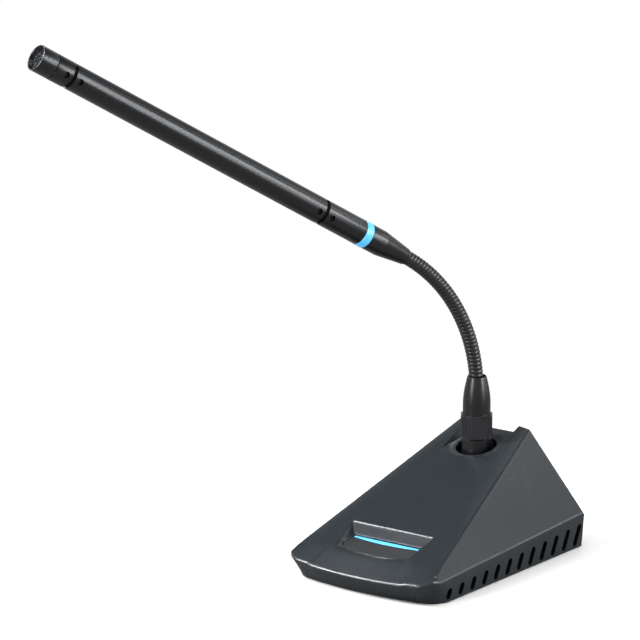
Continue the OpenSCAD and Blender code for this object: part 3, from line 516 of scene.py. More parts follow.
def lathe(name, profile, turns=96, place=None, sharp=32.0):
    """Revolves a closed profile of radius and height pairs about Z, then moves it to its place."""
    n = len(profile)
    verts = []
    for k in range(turns):
        a = 2 * math.pi * k / turns
        verts += [(r * math.cos(a), r * math.sin(a), z) for r, z in profile]
    faces = [f for f in quads(turns, n, around=(True, True)) if profile[f[0] % n][0] or profile[f[1] % n][0]]
    mesh = tidy(mesh_from(name, verts, faces), sharp)
    if place:
        mesh.transform(place)
    return new_object(name, mesh)


def rounded(points, steps):
    """A closed profile of radius and height pairs, rounded where a point has a third number, its cut in mm."""
    out = []
    n = len(points)
    for i in range(n):
        p = Vector(points[i][:2])
        a = Vector(points[i - 1][:2]) - p
        b = Vector(points[(i + 1) % n][:2]) - p
        cut = min(sum(points[i][2:]) * MM, 0.45 * a.length, 0.45 * b.length)
        if cut <= 1e-7:
            out.append((p.x, p.y))
            continue
        start = p + a.normalized() * cut
        end = p + b.normalized() * cut
        for k in range(steps + 1):
            t = k / steps
            q = start * (1 - t) ** 2 + p * (2 * t * (1 - t)) + end * t ** 2
            out.append((q.x, q.y))
    return out


def nodes_piece(name, tree, values, mesh=None):
    """Runs a geometry tree on a mesh and leaves its result as a plain mesh object."""
    obj = new_object(name, mesh or bpy.data.meshes.new(name))
    modifier = obj.modifiers.new("Nodes", "NODES")
    modifier.node_group = tree
    for item in tree.interface.items_tree:
        if item.in_out == "INPUT" and item.name in values:
            modifier[item.identifier] = values[item.name]
    evaluated = obj.evaluated_get(bpy.context.evaluated_depsgraph_get())
    result = bpy.data.meshes.new_from_object(evaluated)
    obj.modifiers.remove(modifier)
    obj.data = result
    result.name = name
    return obj


def geometry_tree(name, inputs):
    """A geometry tree with named inputs, floats unless a kind follows a slash: its graph, reader and closer."""
    tree = bpy.data.node_groups.new(name, "GeometryNodeTree")
    graph = Graph(tree)
    for entry in ["Geometry/Geometry"] + inputs.split() + ["Material/Material"]:
        label, _, kind = entry.partition("/")
        tree.interface.new_socket(label, in_out="INPUT", socket_type="NodeSocket" + (kind or "Float"))
    tree.interface.new_socket("Geometry", in_out="OUTPUT", socket_type="NodeSocketGeometry")
    source = tree.nodes.new("NodeGroupInput")

    def read(label):
        return Wire(graph, source.outputs[label])

    def done(geometry):
        real = graph.node("GeometryNodeRealizeInstances", {0: geometry})
        dressed = graph.node("GeometryNodeSetMaterial", {"Geometry": real, "Material": read("Material")})
        graph.node("NodeGroupOutput", {0: dressed})
        return tree

    return graph, read, done


def join(target, *others):
    """Adds the other objects' meshes to the target's and removes them."""
    bm = bmesh.new()
    for obj in (target,) + others:
        bm.from_mesh(obj.data)
    bm.to_mesh(target.data)
    bm.free()
    for obj in others:
        bpy.data.objects.remove(obj)
    return target


def subtract(target, *cutters):
    """Cuts closed meshes out of a closed mesh, and removes the cutters."""
    for cutter in cutters:
        modifier = target.modifiers.new("Cut", "BOOLEAN")
        modifier.operation = "DIFFERENCE"
        modifier.solver = "EXACT"
        modifier.object = cutter
    result = bpy.data.meshes.new_from_object(target.evaluated_get(bpy.context.evaluated_depsgraph_get()))
    target.modifiers.clear()
    target.data = result
    for cutter in cutters:
        bpy.data.objects.remove(cutter)
    return target


def prism(name, outline, low, high, place=None):
    """A closed prism over a plan outline."""
    n = len(outline)
    verts = [(x, y, z) for z in (low, high) for x, y in outline]
    faces = [range(n)[::-1], range(n, 2 * n)] + quads(2, n, around=(False, True))
    mesh = tidy(mesh_from(name, verts, faces))
    if place:
        mesh.transform(place)
    return new_object(name, mesh)


def circle(radius, steps, y=0.0):
    """Plan of a round hole about a point on the middle line."""
    return [(radius * math.cos(a), y + radius * math.sin(a)) for a in np.linspace(0, 2 * math.pi, steps + 1)[:-1]]


def round_rim(obj, level, radius, segments, place=None):
    """Rounds the edges of a prism that lie at one height, then moves it to its place."""
    bm = bmesh.new()
    bm.from_mesh(obj.data)
    rim = [e for e in bm.edges if all(abs(p.co.z - level) < 1e-6 for p in e.verts)]
    bmesh.ops.bevel(bm, geom=rim, offset=radius, segments=segments, profile=0.5, affect="EDGES",
                    clamp_overlap=True)
    bm.to_mesh(obj.data)
    bm.free()
    if place:
        obj.data.transform(place)
    tidy(obj.data, 40.0)
    return obj


# Shared geometry of the object

class Bowed:
    """An outline with straight sides and a bowed front with round corners, its front towards -Y."""

    def __init__(self, half_front, half_back, y_front, y_back, bow, corner):
        self.half_front, self.half_back = half_front, half_back
        self.y_front, self.y_back = y_front, y_back
        self.bow, self.corner = bow, corner
        side = Vector((half_back - half_front, y_back - y_front)).normalized()
        self.inward = Vector((-side.y, side.x))
        self.bow_c = Vector((0.0, y_front + bow))
        start = Vector((half_front, y_front)) + corner * self.inward - self.bow_c
        along = start.dot(side)
        run = -along - math.sqrt(along * along - start.dot(start) + (bow - corner) ** 2)
        self.c = self.bow_c + start + run * side
        self.side_touch = self.c - corner * self.inward
        self.bow_touch = self.bow_c + bow * (self.c - self.bow_c).normalized()

    def half(self, y):
        along = (y - self.y_front) / (self.y_back - self.y_front)
        return self.half_front + (self.half_back - self.half_front) * along

    def front(self, x):
        """Y of the front edge at a distance x from the middle."""
        x = np.abs(x)
        bow = self.bow_c.y - np.sqrt(np.maximum(self.bow ** 2 - x ** 2, 0))
        arc = self.c.y - np.sqrt(np.maximum(self.corner ** 2 - (x - self.c.x) ** 2, 0))
        return np.where(x <= self.bow_touch.x, bow, arc)

    def outward(self, x, y):
        """Outward direction in plan at a point of the edge."""
        s = 1 if x >= 0 else -1
        p = Vector((abs(x), y))
        if y >= self.y_back - 1e-7:
            n = Vector((0.0, 1.0))
            if abs(x) >= self.half(y) - 1e-7:
                n = Vector((0.0, 1.0)) - self.inward
                n = n / n.dot(Vector((0.0, 1.0)))
        elif abs(x) <= self.bow_touch.x:
            n = (p - self.bow_c).normalized()
        elif y <= self.side_touch.y + 1e-7:
            n = (p - self.c).normalized()
        else:
            n = -self.inward
        return s * n.x, n.y

    def nearest(self, x, y):
        """Point of the edge next to a point in plan."""
        p = Vector((abs(x), y))
        away, turn = p - self.c, self.bow_touch - self.c
        side = Vector((self.inward.y, -self.inward.x))
        if away.dot(side) > 0:
            q = p - self.inward * (p - self.side_touch).dot(self.inward)
        elif turn.x * away.y - turn.y * away.x > 0:
            q = self.c + self.corner * away.normalized()
        else:
            q = self.bow_c + self.bow * (p - self.bow_c).normalized()
        if y > self.y_back - 1e-6:
            q = Vector((min(p.x, self.half(self.y_back)), self.y_back))
        return (q.x if x >= 0 else -q.x), q.y

    def polygon(self, steps=10):
        xs = list(np.linspace(0, self.bow_touch.x, steps)) + [
            self.c.x + self.corner * math.sin(a)
            for a in np.linspace(math.asin((self.bow_touch.x - self.c.x) / self.corner),
                                 math.asin(min(1.0, (self.side_touch.x - self.c.x) / self.corner)), steps)[1:]]
        right = [(x, float(self.front(x))) for x in xs] + [(self.half_back, self.y_back)]
        return right + [(-x, y) for x, y in right[::-1] if x > 1e-9]


def soft_min(a, b, k):
    h = np.clip(0.5 + 0.5 * (b - a) / k, 0, 1)
    return b * (1 - h) + a * h - k * h * (1 - h)


def soft_max(a, b, k):
    return -soft_min(-a, -b, k)


def base_values():
    """Heights and places of the base and its key that follow from the sizes."""
    s, k = bpy.context.scene.mic_base, bpy.context.scene.mic_key
    v = {"front": -s.depth / 2, "back": s.depth / 2, "fall": math.tan(s.slope)}
    v["top_y"] = v["back"] - (s.height - s.lip_back) * math.tan(s.back_lean)
    v["socket_y"] = v["back"] - s.socket_setback
    v["key_y"] = v["front"] + k.setback

    def slope_z(y):
        return s.height - (v["top_y"] - y) * v["fall"]

    v["slope_z"] = slope_z
    v["terrace_z"] = slope_z(v["socket_y"]) - s.terrace_depth
    v["key_z"] = slope_z(v["key_y"]) - k.pocket_depth
    v["key_place"] = Matrix.Translation((0, v["key_y"], v["key_z"])) @ Matrix.Rotation(k.tilt, 4, "X")
    return v


# Widths of the soft blends between the faces of the base
SOFT = {name: mm * MM for name, mm in {
    "roll": 1.2, "side": 1.0, "nose": 1.2, "back": 5.5, "terrace floor": 0.4, "terrace edge": 0.35,
    "pocket walls": 1.6, "pocket floor": 0.9, "pocket edge": 0.9, "scoop flare": 6.0, "scoop front": 1.5,
    "scoop edge": 2.6}.items()}
SCOOP_WALL = 0.8  # share of the wall that is left below the scoop


def top_height(x, y, inset):
    """Height of the base's top over its plan, or of that form moved inwards."""
    s, k, v = bpy.context.scene.mic_base, bpy.context.scene.mic_key, base_values()
    side = np.abs(x)
    slope_n = np.array([0, -math.sin(s.slope), math.cos(s.slope)])
    crest = np.array([s.crest_width / 2, v["top_y"], s.height])
    low_front = np.array([s.width_front / 2, v["front"], s.lip_front])
    low_back = np.array([s.width_back / 2, v["back"], s.lip_back])
    side_n = np.cross(low_back - low_front, crest - low_front)
    side_n /= np.linalg.norm(side_n)
    back_n = np.array([0, math.cos(s.back_lean), math.sin(s.back_lean)])

    def plane(p, n, move=inset):
        q = np.asarray(p) - move * n
        return q[2] - (n[0] * (side - q[0]) + n[1] * (y - q[1])) / n[2]

    # Slope, rolled bands, side faces, front fall and back
    behind = s.nose_radius - inset - np.hypot(x, y - v["front"] - s.nose_radius)
    aside = (2 * x / s.width_front) ** 2
    nose = s.edge_middle + (s.edge_corner - s.edge_middle) * aside - inset
    nose = nose + behind * (math.tan(s.nose_fall) + (math.tan(s.corner_fall) - math.tan(s.nose_fall)) * aside)
    along = np.clip((y - v["front"]) / s.depth, 0, 1)
    run = s.crest_front + (s.crest_round - s.crest_front) * along
    slope, face = plane(crest, slope_n), plane(low_back, side_n)
    roll = slope - s.crest_fall * ((slope - face) * side_n[2] / side_n[0] + run)
    top = soft_min(soft_min(slope, roll, SOFT["roll"]), face, SOFT["side"])
    top = soft_min(soft_min(top, nose, SOFT["nose"]), plane(low_back, back_n), SOFT["back"])

    # Terrace, with a shallow dish round the socket
    terrace_n = np.array([0, -math.sin(s.terrace_tilt), math.cos(s.terrace_tilt)])
    wall_n = np.array([-math.cos(s.terrace_lean), 0, 0]) + math.sin(s.terrace_lean) * slope_n
    ring = np.hypot(x, y - v["socket_y"])
    dish = np.clip((s.terrace_width / 2 - ring) / s.dish_run, 0, 1)
    floor = plane((0, v["socket_y"], v["terrace_z"]), terrace_n) - s.dish_depth * dish * dish * (3 - 2 * dish)
    wall = plane((s.terrace_width / 2, v["socket_y"], v["slope_z"](v["socket_y"])), wall_n)
    terrace = soft_max(floor, wall, SOFT["terrace floor"])

    # Pocket round the key
    key_n = np.array([0, -math.sin(k.tilt), math.cos(k.tilt)])
    rear_n = np.array([0, -math.cos(k.back_lean), math.sin(k.back_lean)])
    flank_n = np.array([-math.cos(k.side_lean), 0, 0]) + math.sin(k.side_lean) * key_n
    key_o = np.array([0, v["key_y"], v["key_z"]])
    rear = plane(key_o + [0, k.gap, 0], rear_n)
    flank = plane(key_o + [k.width / 2 + 2 * k.gap, 0, 0], flank_n)
    pocket = soft_max(plane(key_o, key_n), soft_max(rear, flank, SOFT["pocket walls"]), SOFT["pocket floor"])

    # Scoop from the key's bowed front edge down to the lip; its height is found by repeated steps
    start = k.depth + k.gap + k.scoop_start
    rel = np.array([v["front"] - v["key_y"], s.edge_middle - v["key_z"]])
    lip = np.array([rel[0] * math.cos(k.tilt) + rel[1] * math.sin(k.tilt),
                    -rel[0] * math.sin(k.tilt) + rel[1] * math.cos(k.tilt)])
    fall = -lip[1] / (-lip[0] - start)
    sink = SCOOP_WALL * inset / math.cos(math.atan(fall))
    z = np.full_like(x, v["key_z"])
    for _ in range(6):
        dy, dz = y - v["key_y"], z - v["key_z"]
        along = dy * math.cos(k.tilt) + dz * math.sin(k.tilt)
        drop = -(np.hypot(x, along - (k.scoop_bow - start)) - k.scoop_bow) * fall - sink
        z = v["key_z"] + along * math.sin(k.tilt) + drop * math.cos(k.tilt)
    flare_n = np.array([-1, -v["fall"] - k.scoop_flare, 1])
    flare_n /= np.linalg.norm(flare_n)
    edge_y = v["front"] + k.scoop_back
    flare = plane((k.scoop_width / 2, edge_y, v["slope_z"](edge_y)), flare_n, SCOOP_WALL * inset)
    scoop = soft_max(soft_max(z, flare, SOFT["scoop flare"]), nose, SOFT["scoop front"])

    top = soft_min(top, scoop, SOFT["scoop edge"])
    top = soft_min(top, pocket, SOFT["pocket edge"])
    return soft_min(top, terrace, SOFT["terrace edge"])


def spread(*spans):
    """Grid lines from runs of start, end and number of steps."""
    lines = []
    for a, b, steps in spans:
        lines += list(np.linspace(a, b, steps + 1)[:-1])
    return np.array(lines + [spans[-1][1]]) * MM


# Runs of grid lines over the base's plan, in mm, finer where faces meet, and the steps of the runs up to its edges
ACROSS = ((0, 15.5, 12), (15.5, 21, 20), (21, 25.2, 10), (25.2, 31.5, 17))
ALONG = ((-50, -41, 25), (-41, 29, 41), (29, 67, 96), (67, 73, 17))
SIDE_STEPS, NOSE_STEPS, FRONT_STEPS, BACK_STEPS = 32, 26, 32, 12
STRAIGHT = 32 * MM  # half width of the grid's straight middle


def base_half(inset, margin):
    """Grid over the plan, its faces and its edge loop, for the outer form or the form moved inwards."""
    s = bpy.context.scene.mic_base
    move = inset + margin
    plan = Bowed(s.width_front / 2 - move, s.width_back / 2 - move, -s.depth / 2 + move, s.depth / 2 - move,
                 s.nose_radius - move, s.corner - move)
    edge, turn = plan.side_touch
    right = spread(*ACROSS, (ACROSS[-1][1], edge / MM, SIDE_STEPS))
    xs = np.concatenate([-right[:0:-1], right])
    grid_x, grid_y = [], []
    y0 = plan.front(xs)
    for t in np.linspace(0, 1, NOSE_STEPS + 1)[:-1]:
        grid_x.append(xs)
        grid_y.append(y0 + t * (turn - y0))
    for y in spread((turn / MM, ALONG[0][0], FRONT_STEPS), *ALONG, (ALONG[-1][1], plan.y_back / MM, BACK_STEPS)):
        stretch = (plan.half(y) - STRAIGHT) / (edge - STRAIGHT)
        outer = np.sign(xs) * (STRAIGHT + (np.abs(xs) - STRAIGHT) * stretch)
        grid_x.append(np.where(np.abs(xs) <= STRAIGHT, xs, outer))
        grid_y.append(np.full_like(xs, y))
    gx, gy = np.array(grid_x), np.array(grid_y)
    gz = top_height(gx, gy, inset)
    nr, nc = gx.shape
    verts = np.stack([gx, gy, gz], 2).reshape(-1, 3)
    loop = list(range(nc)) + [r * nc + nc - 1 for r in range(NOSE_STEPS + 1, nr)]
    loop += [(nr - 1) * nc + c for c in range(nc - 2, -1, -1)] + [r * nc for r in range(nr - 2, NOSE_STEPS, -1)]
    return plan, verts, quads(nr, nc), loop


def foot_outline(inset):
    """Plan of the skirt's foot, or that plan moved inwards."""
    s = bpy.context.scene.mic_base
    return Bowed(s.foot_front / 2 - inset, s.foot_back / 2 - inset, -s.depth / 2 + s.foot_setback + inset,
                 s.depth / 2 - 0.5 * MM - inset, s.foot_bow - inset, s.foot_corner - inset)


def base_shell_mesh():
    """The shell: a top with soft blends, a rounded lip, an undercut skirt and an inside."""
    s = bpy.context.scene.mic_base
    margin = s.lip_margin
    plan, verts, faces, loop = base_half(0.0, margin)
    foot_out, foot_in = foot_outline(0.0), foot_outline(s.wall)
    verts = [tuple(p) for p in verts]
    base, n = len(verts), len(loop)
    for i in loop:
        x, y, z = verts[i]
        nx, ny = plan.outward(x, y)
        ahead = max(0.0, -ny) ** 2
        run = s.lip_side_run + (s.lip_run - s.lip_side_run) * ahead
        drop = s.lip_side_drop + (s.lip_drop - s.lip_side_drop) * ahead
        near = Vector((x + (margin - run) * nx, y + (margin - run) * ny, 0.0))
        near.z = float(top_height(np.array([near.x]), np.array([near.y]), 0.0)[0])
        lip = Vector((x + margin * nx, y + margin * ny, near.z - drop))
        before = Vector((x, y, z)).lerp(near, 0.85)
        foot = Vector((*foot_out.nearest(lip.x, lip.y), s.skirt_gap))
        # Over the bevel, whose two corners are rounded, and down the skirt
        ring = [before, near.lerp(before, 0.3).lerp(near.lerp(lip, 0.1), 0.5)]
        ring += [near.lerp(lip, t) for t in (0.15, 0.5, 0.88)]
        ring.append(lip.lerp(near, 0.06).lerp(lip.lerp(foot, 0.012), 0.5))
        ring += [lip.lerp(foot, t) for t in (0.025, 0.06, 0.3, 0.6, 0.95, 1.0)]
        depth = len(ring)
        verts += [tuple(p) for p in ring]
    first = range(base, len(verts), depth)
    rim = [i + depth - 1 for i in first]
    faces += quads(n, depth, base, (True, False))
    _, inside, inner_faces, inner_loop = base_half(s.wall, 0.0)
    if len(inner_loop) != n:
        raise RuntimeError("the inside and outside of the base differ in their edge loops")
    shift = len(verts)
    verts += [tuple(p) for p in inside]
    faces += [tuple(shift + q for q in f[::-1]) for f in inner_faces]
    under = len(verts)
    verts += [(*foot_in.nearest(inside[i][0], inside[i][1]), s.skirt_gap) for i in inner_loop]
    for i in range(n):
        j = (i + 1) % n
        faces.append((loop[j], loop[i], first[i], first[j]))
        faces.append((shift + inner_loop[i], shift + inner_loop[j], under + j, under + i))
        faces.append((under + i, under + j, rim[j], rim[i]))
    return mesh_from("base_skin", verts, faces)


def vent_cutters():
    """Slanted round-ended slots through both sides of the skirt, as one closed mesh."""
    s = bpy.context.scene.mic_base
    r, lean, arc = s.vent_width / 2, s.vent_lean, np.linspace(0, math.pi, 13)
    step = (s.depth - s.vent_start - s.vent_end) / (s.vents - 1)
    verts, faces = [], []
    for side in (-1, 1):
        for i in range(s.vents):
            along = s.vent_start + i * step
            y = -s.depth / 2 + along
            top = s.vent_top_front + (s.vent_top_back - s.vent_top_front) * i / (s.vents - 1) - r
            run = (top - s.vent_low - r) / math.cos(lean)
            ring = [(r * math.cos(a), r * math.sin(a)) for a in arc]
            ring += [(r * math.cos(a), r * math.sin(a) - run) for a in arc + math.pi]
            half = s.width_front / 2 + (s.width_back - s.width_front) / 2 * along / s.depth
            first, m = len(verts), len(ring)
            for x in (half - 2.2 * s.wall, half + 2 * s.wall):
                verts += [(side * x, y + a * math.cos(lean) + b * math.sin(lean),
                           top - a * math.sin(lean) + b * math.cos(lean)) for a, b in ring]
            faces += [range(first, first + m), range(first + m, first + 2 * m)[::-1]]
            faces += quads(2, m, first, (False, True))
    mesh = tidy(mesh_from("vent_cutters", verts, faces))
    # The cutters carry the near-black material, painted shade in the slots
    mesh.materials.append(material_of("slot lining"))
    return new_object("vent_cutters", mesh)


def key_outline(grow, y_back):
    """Plan of the key in its own frame, moved outwards, with its back edge at a given place."""
    k = bpy.context.scene.mic_key
    half = k.width / 2 + grow
    return Bowed(half, half, -k.depth - grow, y_back, k.bow + grow, k.corner + grow)


def connector_values():
    """Heights and radii that the connector's pieces share."""
    c, v = bpy.context.scene.mic_connector, base_values()
    shoulder = v["terrace_z"] + c.stand
    ring = shoulder + c.gap
    shell = ring + c.ring_height + c.gap
    flange = shoulder + c.spigot + c.gap
    return {"shoulder": shoulder, "ring": ring, "shell": shell, "top": shell + c.shell_height, "flange": flange,
            "flange_top": flange + c.flange, "spigot": c.pillar / 2 - c.step, "stem": c.ring / 2 - c.ring_wall,
            "socket": Matrix.Translation((0, v["socket_y"], 0))}


def arm_place():
    """The neck's joints in the world and the frame of the tube, whose Z runs towards the mouth."""
    n, h = bpy.context.scene.mic_neck, connector_values()
    turn = Matrix.Rotation(-n.arm_turn, 4, "Z")
    bend = (n.arm_lean - n.root_lean) / (n.links + 1)
    spot = Vector((0.0, h["top"] - n.seat))
    path = [spot]
    for i in range(n.links + 1):
        lean = n.root_lean + i * bend
        spot = spot + Vector((math.sin(lean), math.cos(lean))) * (n.link if i else n.root)
        path.append(spot)
    world = [h["socket"] @ turn @ Vector((0, -p.x, p.y)) for p in path]
    tube = Matrix.Translation(world[-1]) @ turn @ Matrix.Rotation(n.arm_lean, 4, "X")
    return world, tube, turn.to_3x3() @ Vector((1, 0, 0))


# Operators

class MicOperator(bpy.types.Operator):
    """Base of the microphone's operators"""
    bl_options = {"REGISTER", "UNDO"}


# Section of the bead round the key, in mm: distance from the key and height
KEY_BEAD = ((0.45, -1.5), (0.45, 0.05), (0.62, 0.25), (1.0, 0.36), (1.45, 0.28), (1.75, 0.02), (1.9, -1.6))
BOW_STEPS = 14  # steps along the bowed edges of the key and the bottom plate


class MIC_OT_base(MicOperator):
    """Moulded base: soft crests, rounded lip, pocket, scoop, terrace and slots, and its bottom plate"""
    bl_idname = "mic.base"
    bl_label = "Base"

    def execute(self, context):
        s, k, v = context.scene.mic_base, context.scene.mic_key, base_values()
        mesh = tidy(base_shell_mesh(), 40.0)
        # The second material is near black: painted shade on the walls of the slots
        for name in ("moulded shell", "slot lining"):
            mesh.materials.append(material_of(name))
        skin = new_object("base_skin", mesh)
        socket = circle(s.socket_hole / 2, 96, v["socket_y"])
        window = key_outline(k.gap, 1.6 * k.gap).polygon()
        jack = Matrix.Translation((s.jack_x, v["back"], s.jack_z)) @ Matrix.Rotation(-math.pi / 2, 4, "X")
        subtract(skin, prism("socket_cut", socket, 30 * MM, 90 * MM),
                 prism("key_cut", window, -12 * MM, 2 * MM, v["key_place"]),
                 prism("jack_cut", circle(s.jack_hole / 2, 48), -6 * MM, 6 * MM, jack), vent_cutters())
        tidy(skin.data, 28.0, outward=False)
        seat(skin, "base", "shell_plastic", None, "base_shell")
        seat(self.key_bead(v), "base", "shell_plastic", "moulded shell")
        low = s.foot_height
        outline = foot_outline(s.wall + 0.3 * MM).polygon(BOW_STEPS)
        plate = round_rim(prism("bottom_plate_cut", outline, low, low + s.plate), low, 0.5 * MM, 3)
        seat(plate, "base", "plate_metal", "plate coat", "bottom_plate")
        return {"FINISHED"}

    def key_bead(self, v):
        """A low rounded bead round the sides and front of the key."""
        verts = []
        for grow, z in KEY_BEAD:
            ring = key_outline(grow * MM, -0.3 * MM).polygon(BOW_STEPS)
            split = len(ring) // 2 + 1
            verts += [(x, y, z * MM) for x, y in ring[split:] + ring[:split]]
        rows, n = len(KEY_BEAD), len(ring)
        ends = [range(0, rows * n, n), range(n - 1, rows * n, n)[::-1]]
        mesh = mesh_from("key_bead", verts, quads(rows, n, around=(True, False)) + ends)
        mesh.transform(v["key_place"])
        return new_object("key_bead", tidy(mesh, 50.0))


class MIC_OT_key(MicOperator):
    """Talk key with touch dots along its front edge, and the light bar behind it"""
    bl_idname = "mic.key"
    bl_label = "Talk key"

    def execute(self, context):
        k, v = context.scene.mic_key, base_values()
        cap = prism("key_cap", key_outline(0.0, -0.85 * MM).polygon(BOW_STEPS), -k.plate, 0.0)
        round_rim(cap, 0.0, k.edge, 4, v["key_place"])
        join(cap, self.touch_dots(k, v))
        seat(cap, "key", "key_plastic", "key plastic", "talk_key")

        half, inset = k.width / 2, 0.2 * MM
        flange = Bowed(half - inset, half - inset, -k.depth + inset, 0.9 * MM, k.bow, k.corner).polygon(BOW_STEPS)
        carrier = prism("key_carrier", flange, -k.plate - 1.2 * MM, -k.plate + 0.01 * MM, v["key_place"])
        seat(carrier, "key", "key_plastic", "dark plastic")

        half, back, top = k.width / 2 - 0.8 * MM, -0.7 * MM, 0.15 * MM
        bow = (half ** 2 + k.bar_bow ** 2) / (2 * k.bar_bow)
        lens = Bowed(half, half, back - k.bar - k.bar_bow, back, bow, 0.4 * MM).polygon(16)
        bar = prism("light_bar", lens, -k.plate + 0.2 * MM, top)
        round_rim(bar, top, 0.12 * MM, 3, v["key_place"])
        seat(bar, "key", "key_light", "key light", "key_light_bar")
        return {"FINISHED"}

    def touch_dots(self, k, v):
        """Small domes on an arc that follows the key's front edge."""
        graph, read, done = geometry_tree("touch dots", "Dots/Int Dot Bow Front Span")
        line = graph.node("GeometryNodeMeshLine", {"Count": read("Dots")}, {"mode": "OFFSET"})
        x = (graph.node("GeometryNodeInputIndex") / (read("Dots") - 1.0) - 0.5) * read("Span")
        y = read("Front") + read("Bow") - graph.math("SQRT", read("Bow") * read("Bow") - x * x)
        laid = graph.node("GeometryNodeSetPosition", {"Geometry": line, "Position": graph.xyz(x, y, 0.0)})
        dome = graph.node("GeometryNodeMeshUVSphere", {"Segments": 10, "Rings": 6, "Radius": read("Dot") * 0.5})
        flat = graph.node("GeometryNodeTransform", {"Geometry": dome, "Scale": (1.0, 1.0, 0.5)})
        copies = graph.node("GeometryNodeInstanceOnPoints", {"Points": laid, "Instance": flat})
        inset = 2.6 * MM
        dots = nodes_piece("touch_dots", done(copies), {
            "Dots": k.dots, "Dot": k.dot, "Bow": k.bow - inset, "Front": inset - k.depth,
            "Span": k.width - 12 * MM, "Material": material_of("key plastic")})
        dots.data.transform(v["key_place"])
        tidy(dots.data, 60.0)
        return dots


class MIC_OT_connector(MicOperator):
    """Socket pillar with its threaded spigot, knurled lock ring and plug shell"""
    bl_idname = "mic.connector"
    bl_label = "Connector"

    def execute(self, context):
        c, h = context.scene.mic_connector, connector_values()
        self.pillar(c, h)
        self.lock_ring(c, h)
        self.plug_shell(c, h, context.scene.mic_neck.seat)
        return {"FINISHED"}

    def pillar(self, c, h):
        """The pillar on its hidden plinth, with a thread round its spigot."""
        r, spigot, low, high = c.pillar / 2, h["spigot"], h["shoulder"], h["shoulder"] + c.spigot
        foot, plinth, thick, bore, drain, deep = 9.5 * MM, 21 * MM, 4 * MM, 6.5 * MM, 3 * MM, 20 * MM
        turns, root, flank, bevel = 9, spigot - 0.35 * MM, 0.25 * MM, 0.25 * MM
        profile = [(drain, foot), (plinth, foot), (plinth, foot + thick), (r, foot + thick),
                   (r, low - bevel), (r - bevel, low), (root, low)]
        for i in range(turns):
            z = low + 0.6 * MM + (c.spigot - 1.2 * MM) * i / (turns - 1)
            profile += [(root, z - flank), (spigot, z), (root, z + flank)]
        profile += [(spigot - 0.4 * MM, high), (bore, high), (bore, low - deep), (drain, low - deep)]
        turned = lathe("socket_pillar_turned", profile, 96, h["socket"])
        seat(turned, "base", "black_metal", "black coat", "socket_pillar")

    def plug_shell(self, c, h, seat_depth):
        """The bullet-shaped shell above the ring, with the plug's stem, flange and nose below it."""
        r, top, spigot, stem = c.shell / 2, c.shell_top / 2, h["spigot"], h["stem"]
        low, high, flange, flange_top = h["shell"], h["top"], h["flange"], h["flange_top"]
        nose, inner, nose_end, lead = 6.2 * MM, 5.2 * MM, flange - 18 * MM, 3 * MM
        hose, hose_end, bevel = 5.55 * MM, high - seat_depth, 0.3 * MM
        profile = [(inner, nose_end), (nose, nose_end), (nose, flange), (spigot, flange), (spigot, flange_top),
                   (stem, flange_top), (stem, low), (r - bevel, low), (r, low + bevel)]
        profile += [(r - (r - top) * t ** 1.8, low + c.shell_height * (0.28 + 0.66 * t))
                    for t in np.linspace(0, 1, 25)]
        profile += [(top - 0.12 * MM, high - 0.7 * MM), (top - 0.4 * MM, high - 0.2 * MM), (top - 0.8 * MM, high),
                    (hose + bevel, high), (hose, high - bevel), (hose, hose_end), (lead, hose_end), (lead, low),
                    (inner, low - 2 * MM)]
        shell = lathe("plug_shell_turned", profile, 128, h["socket"])
        seat(shell, "plug", "black_metal", "black coat", "plug_shell")

    def lock_ring(self, c, h):
        """The ring's turned core with a thin collar on top and straight ridges round it."""
        r, core = c.ring / 2, c.ring / 2 - c.ridge
        bore, neck, shoulder = h["spigot"] + c.gap, h["stem"] + c.gap, h["flange_top"] + c.gap
        z0, z1 = h["ring"], h["ring"] + c.ring_height
        low, high, bevel = z0 + 0.8 * MM, z1 - 0.3 * MM, 0.4 * MM
        groove, lip, rim, guard = r - 0.55 * MM, r + 0.02 * MM, z1 + 1.1 * MM, c.shell / 2 + 0.15 * MM
        profile = [(bore, z0), (core - bevel, z0), (core, z0 + bevel), (core, high - 0.1 * MM),
                   (r, high), (r, high + 0.2 * MM), (groove, high + 0.7 * MM), (groove, high + 0.8 * MM),
                   (lip, high + 0.85 * MM), (lip, rim - 0.12 * MM), (r - 0.12 * MM, rim), (guard, rim),
                   (guard, z1), (neck, z1), (neck, shoulder), (bore, shoulder)]
        body = lathe("lock_ring_core", profile, 128)
        graph, read, done = geometry_tree("knurl", "Ridges/Int Radius Ridge Low High")
        ring = graph.node("GeometryNodeMeshCircle", {"Vertices": read("Ridges"), "Radius": read("Radius")})
        turn = graph.node("GeometryNodeInputIndex") / read("Ridges") * (2 * math.pi)
        bar = graph.node("GeometryNodeMeshCone", {
            "Vertices": 8, "Radius Top": read("Ridge"), "Radius Bottom": read("Ridge"),
            "Depth": read("High") - read("Low")})
        stood = graph.node("GeometryNodeTransform", {
            "Geometry": bar, "Translation": graph.xyz(0.0, 0.0, read("Low"))})
        ridges = graph.node("GeometryNodeInstanceOnPoints", {
            "Points": ring, "Instance": stood, "Rotation": graph.xyz(0.0, 0.0, turn)})
        both = graph.node("GeometryNodeJoinGeometry", {0: [read("Geometry"), ridges]})
        sunk = 0.02 * MM
        knurled = nodes_piece("lock_ring_knurled", done(both), {
            "Ridges": c.ridges, "Radius": core + sunk, "Ridge": c.ridge - sunk, "Low": low,
            "High": high - 0.1 * MM, "Material": material_of("ring coat")}, body.data)
        bpy.data.objects.remove(body)
        knurled.data.transform(h["socket"])
        seat(knurled, "ring", "ring_metal", None, "lock_ring")


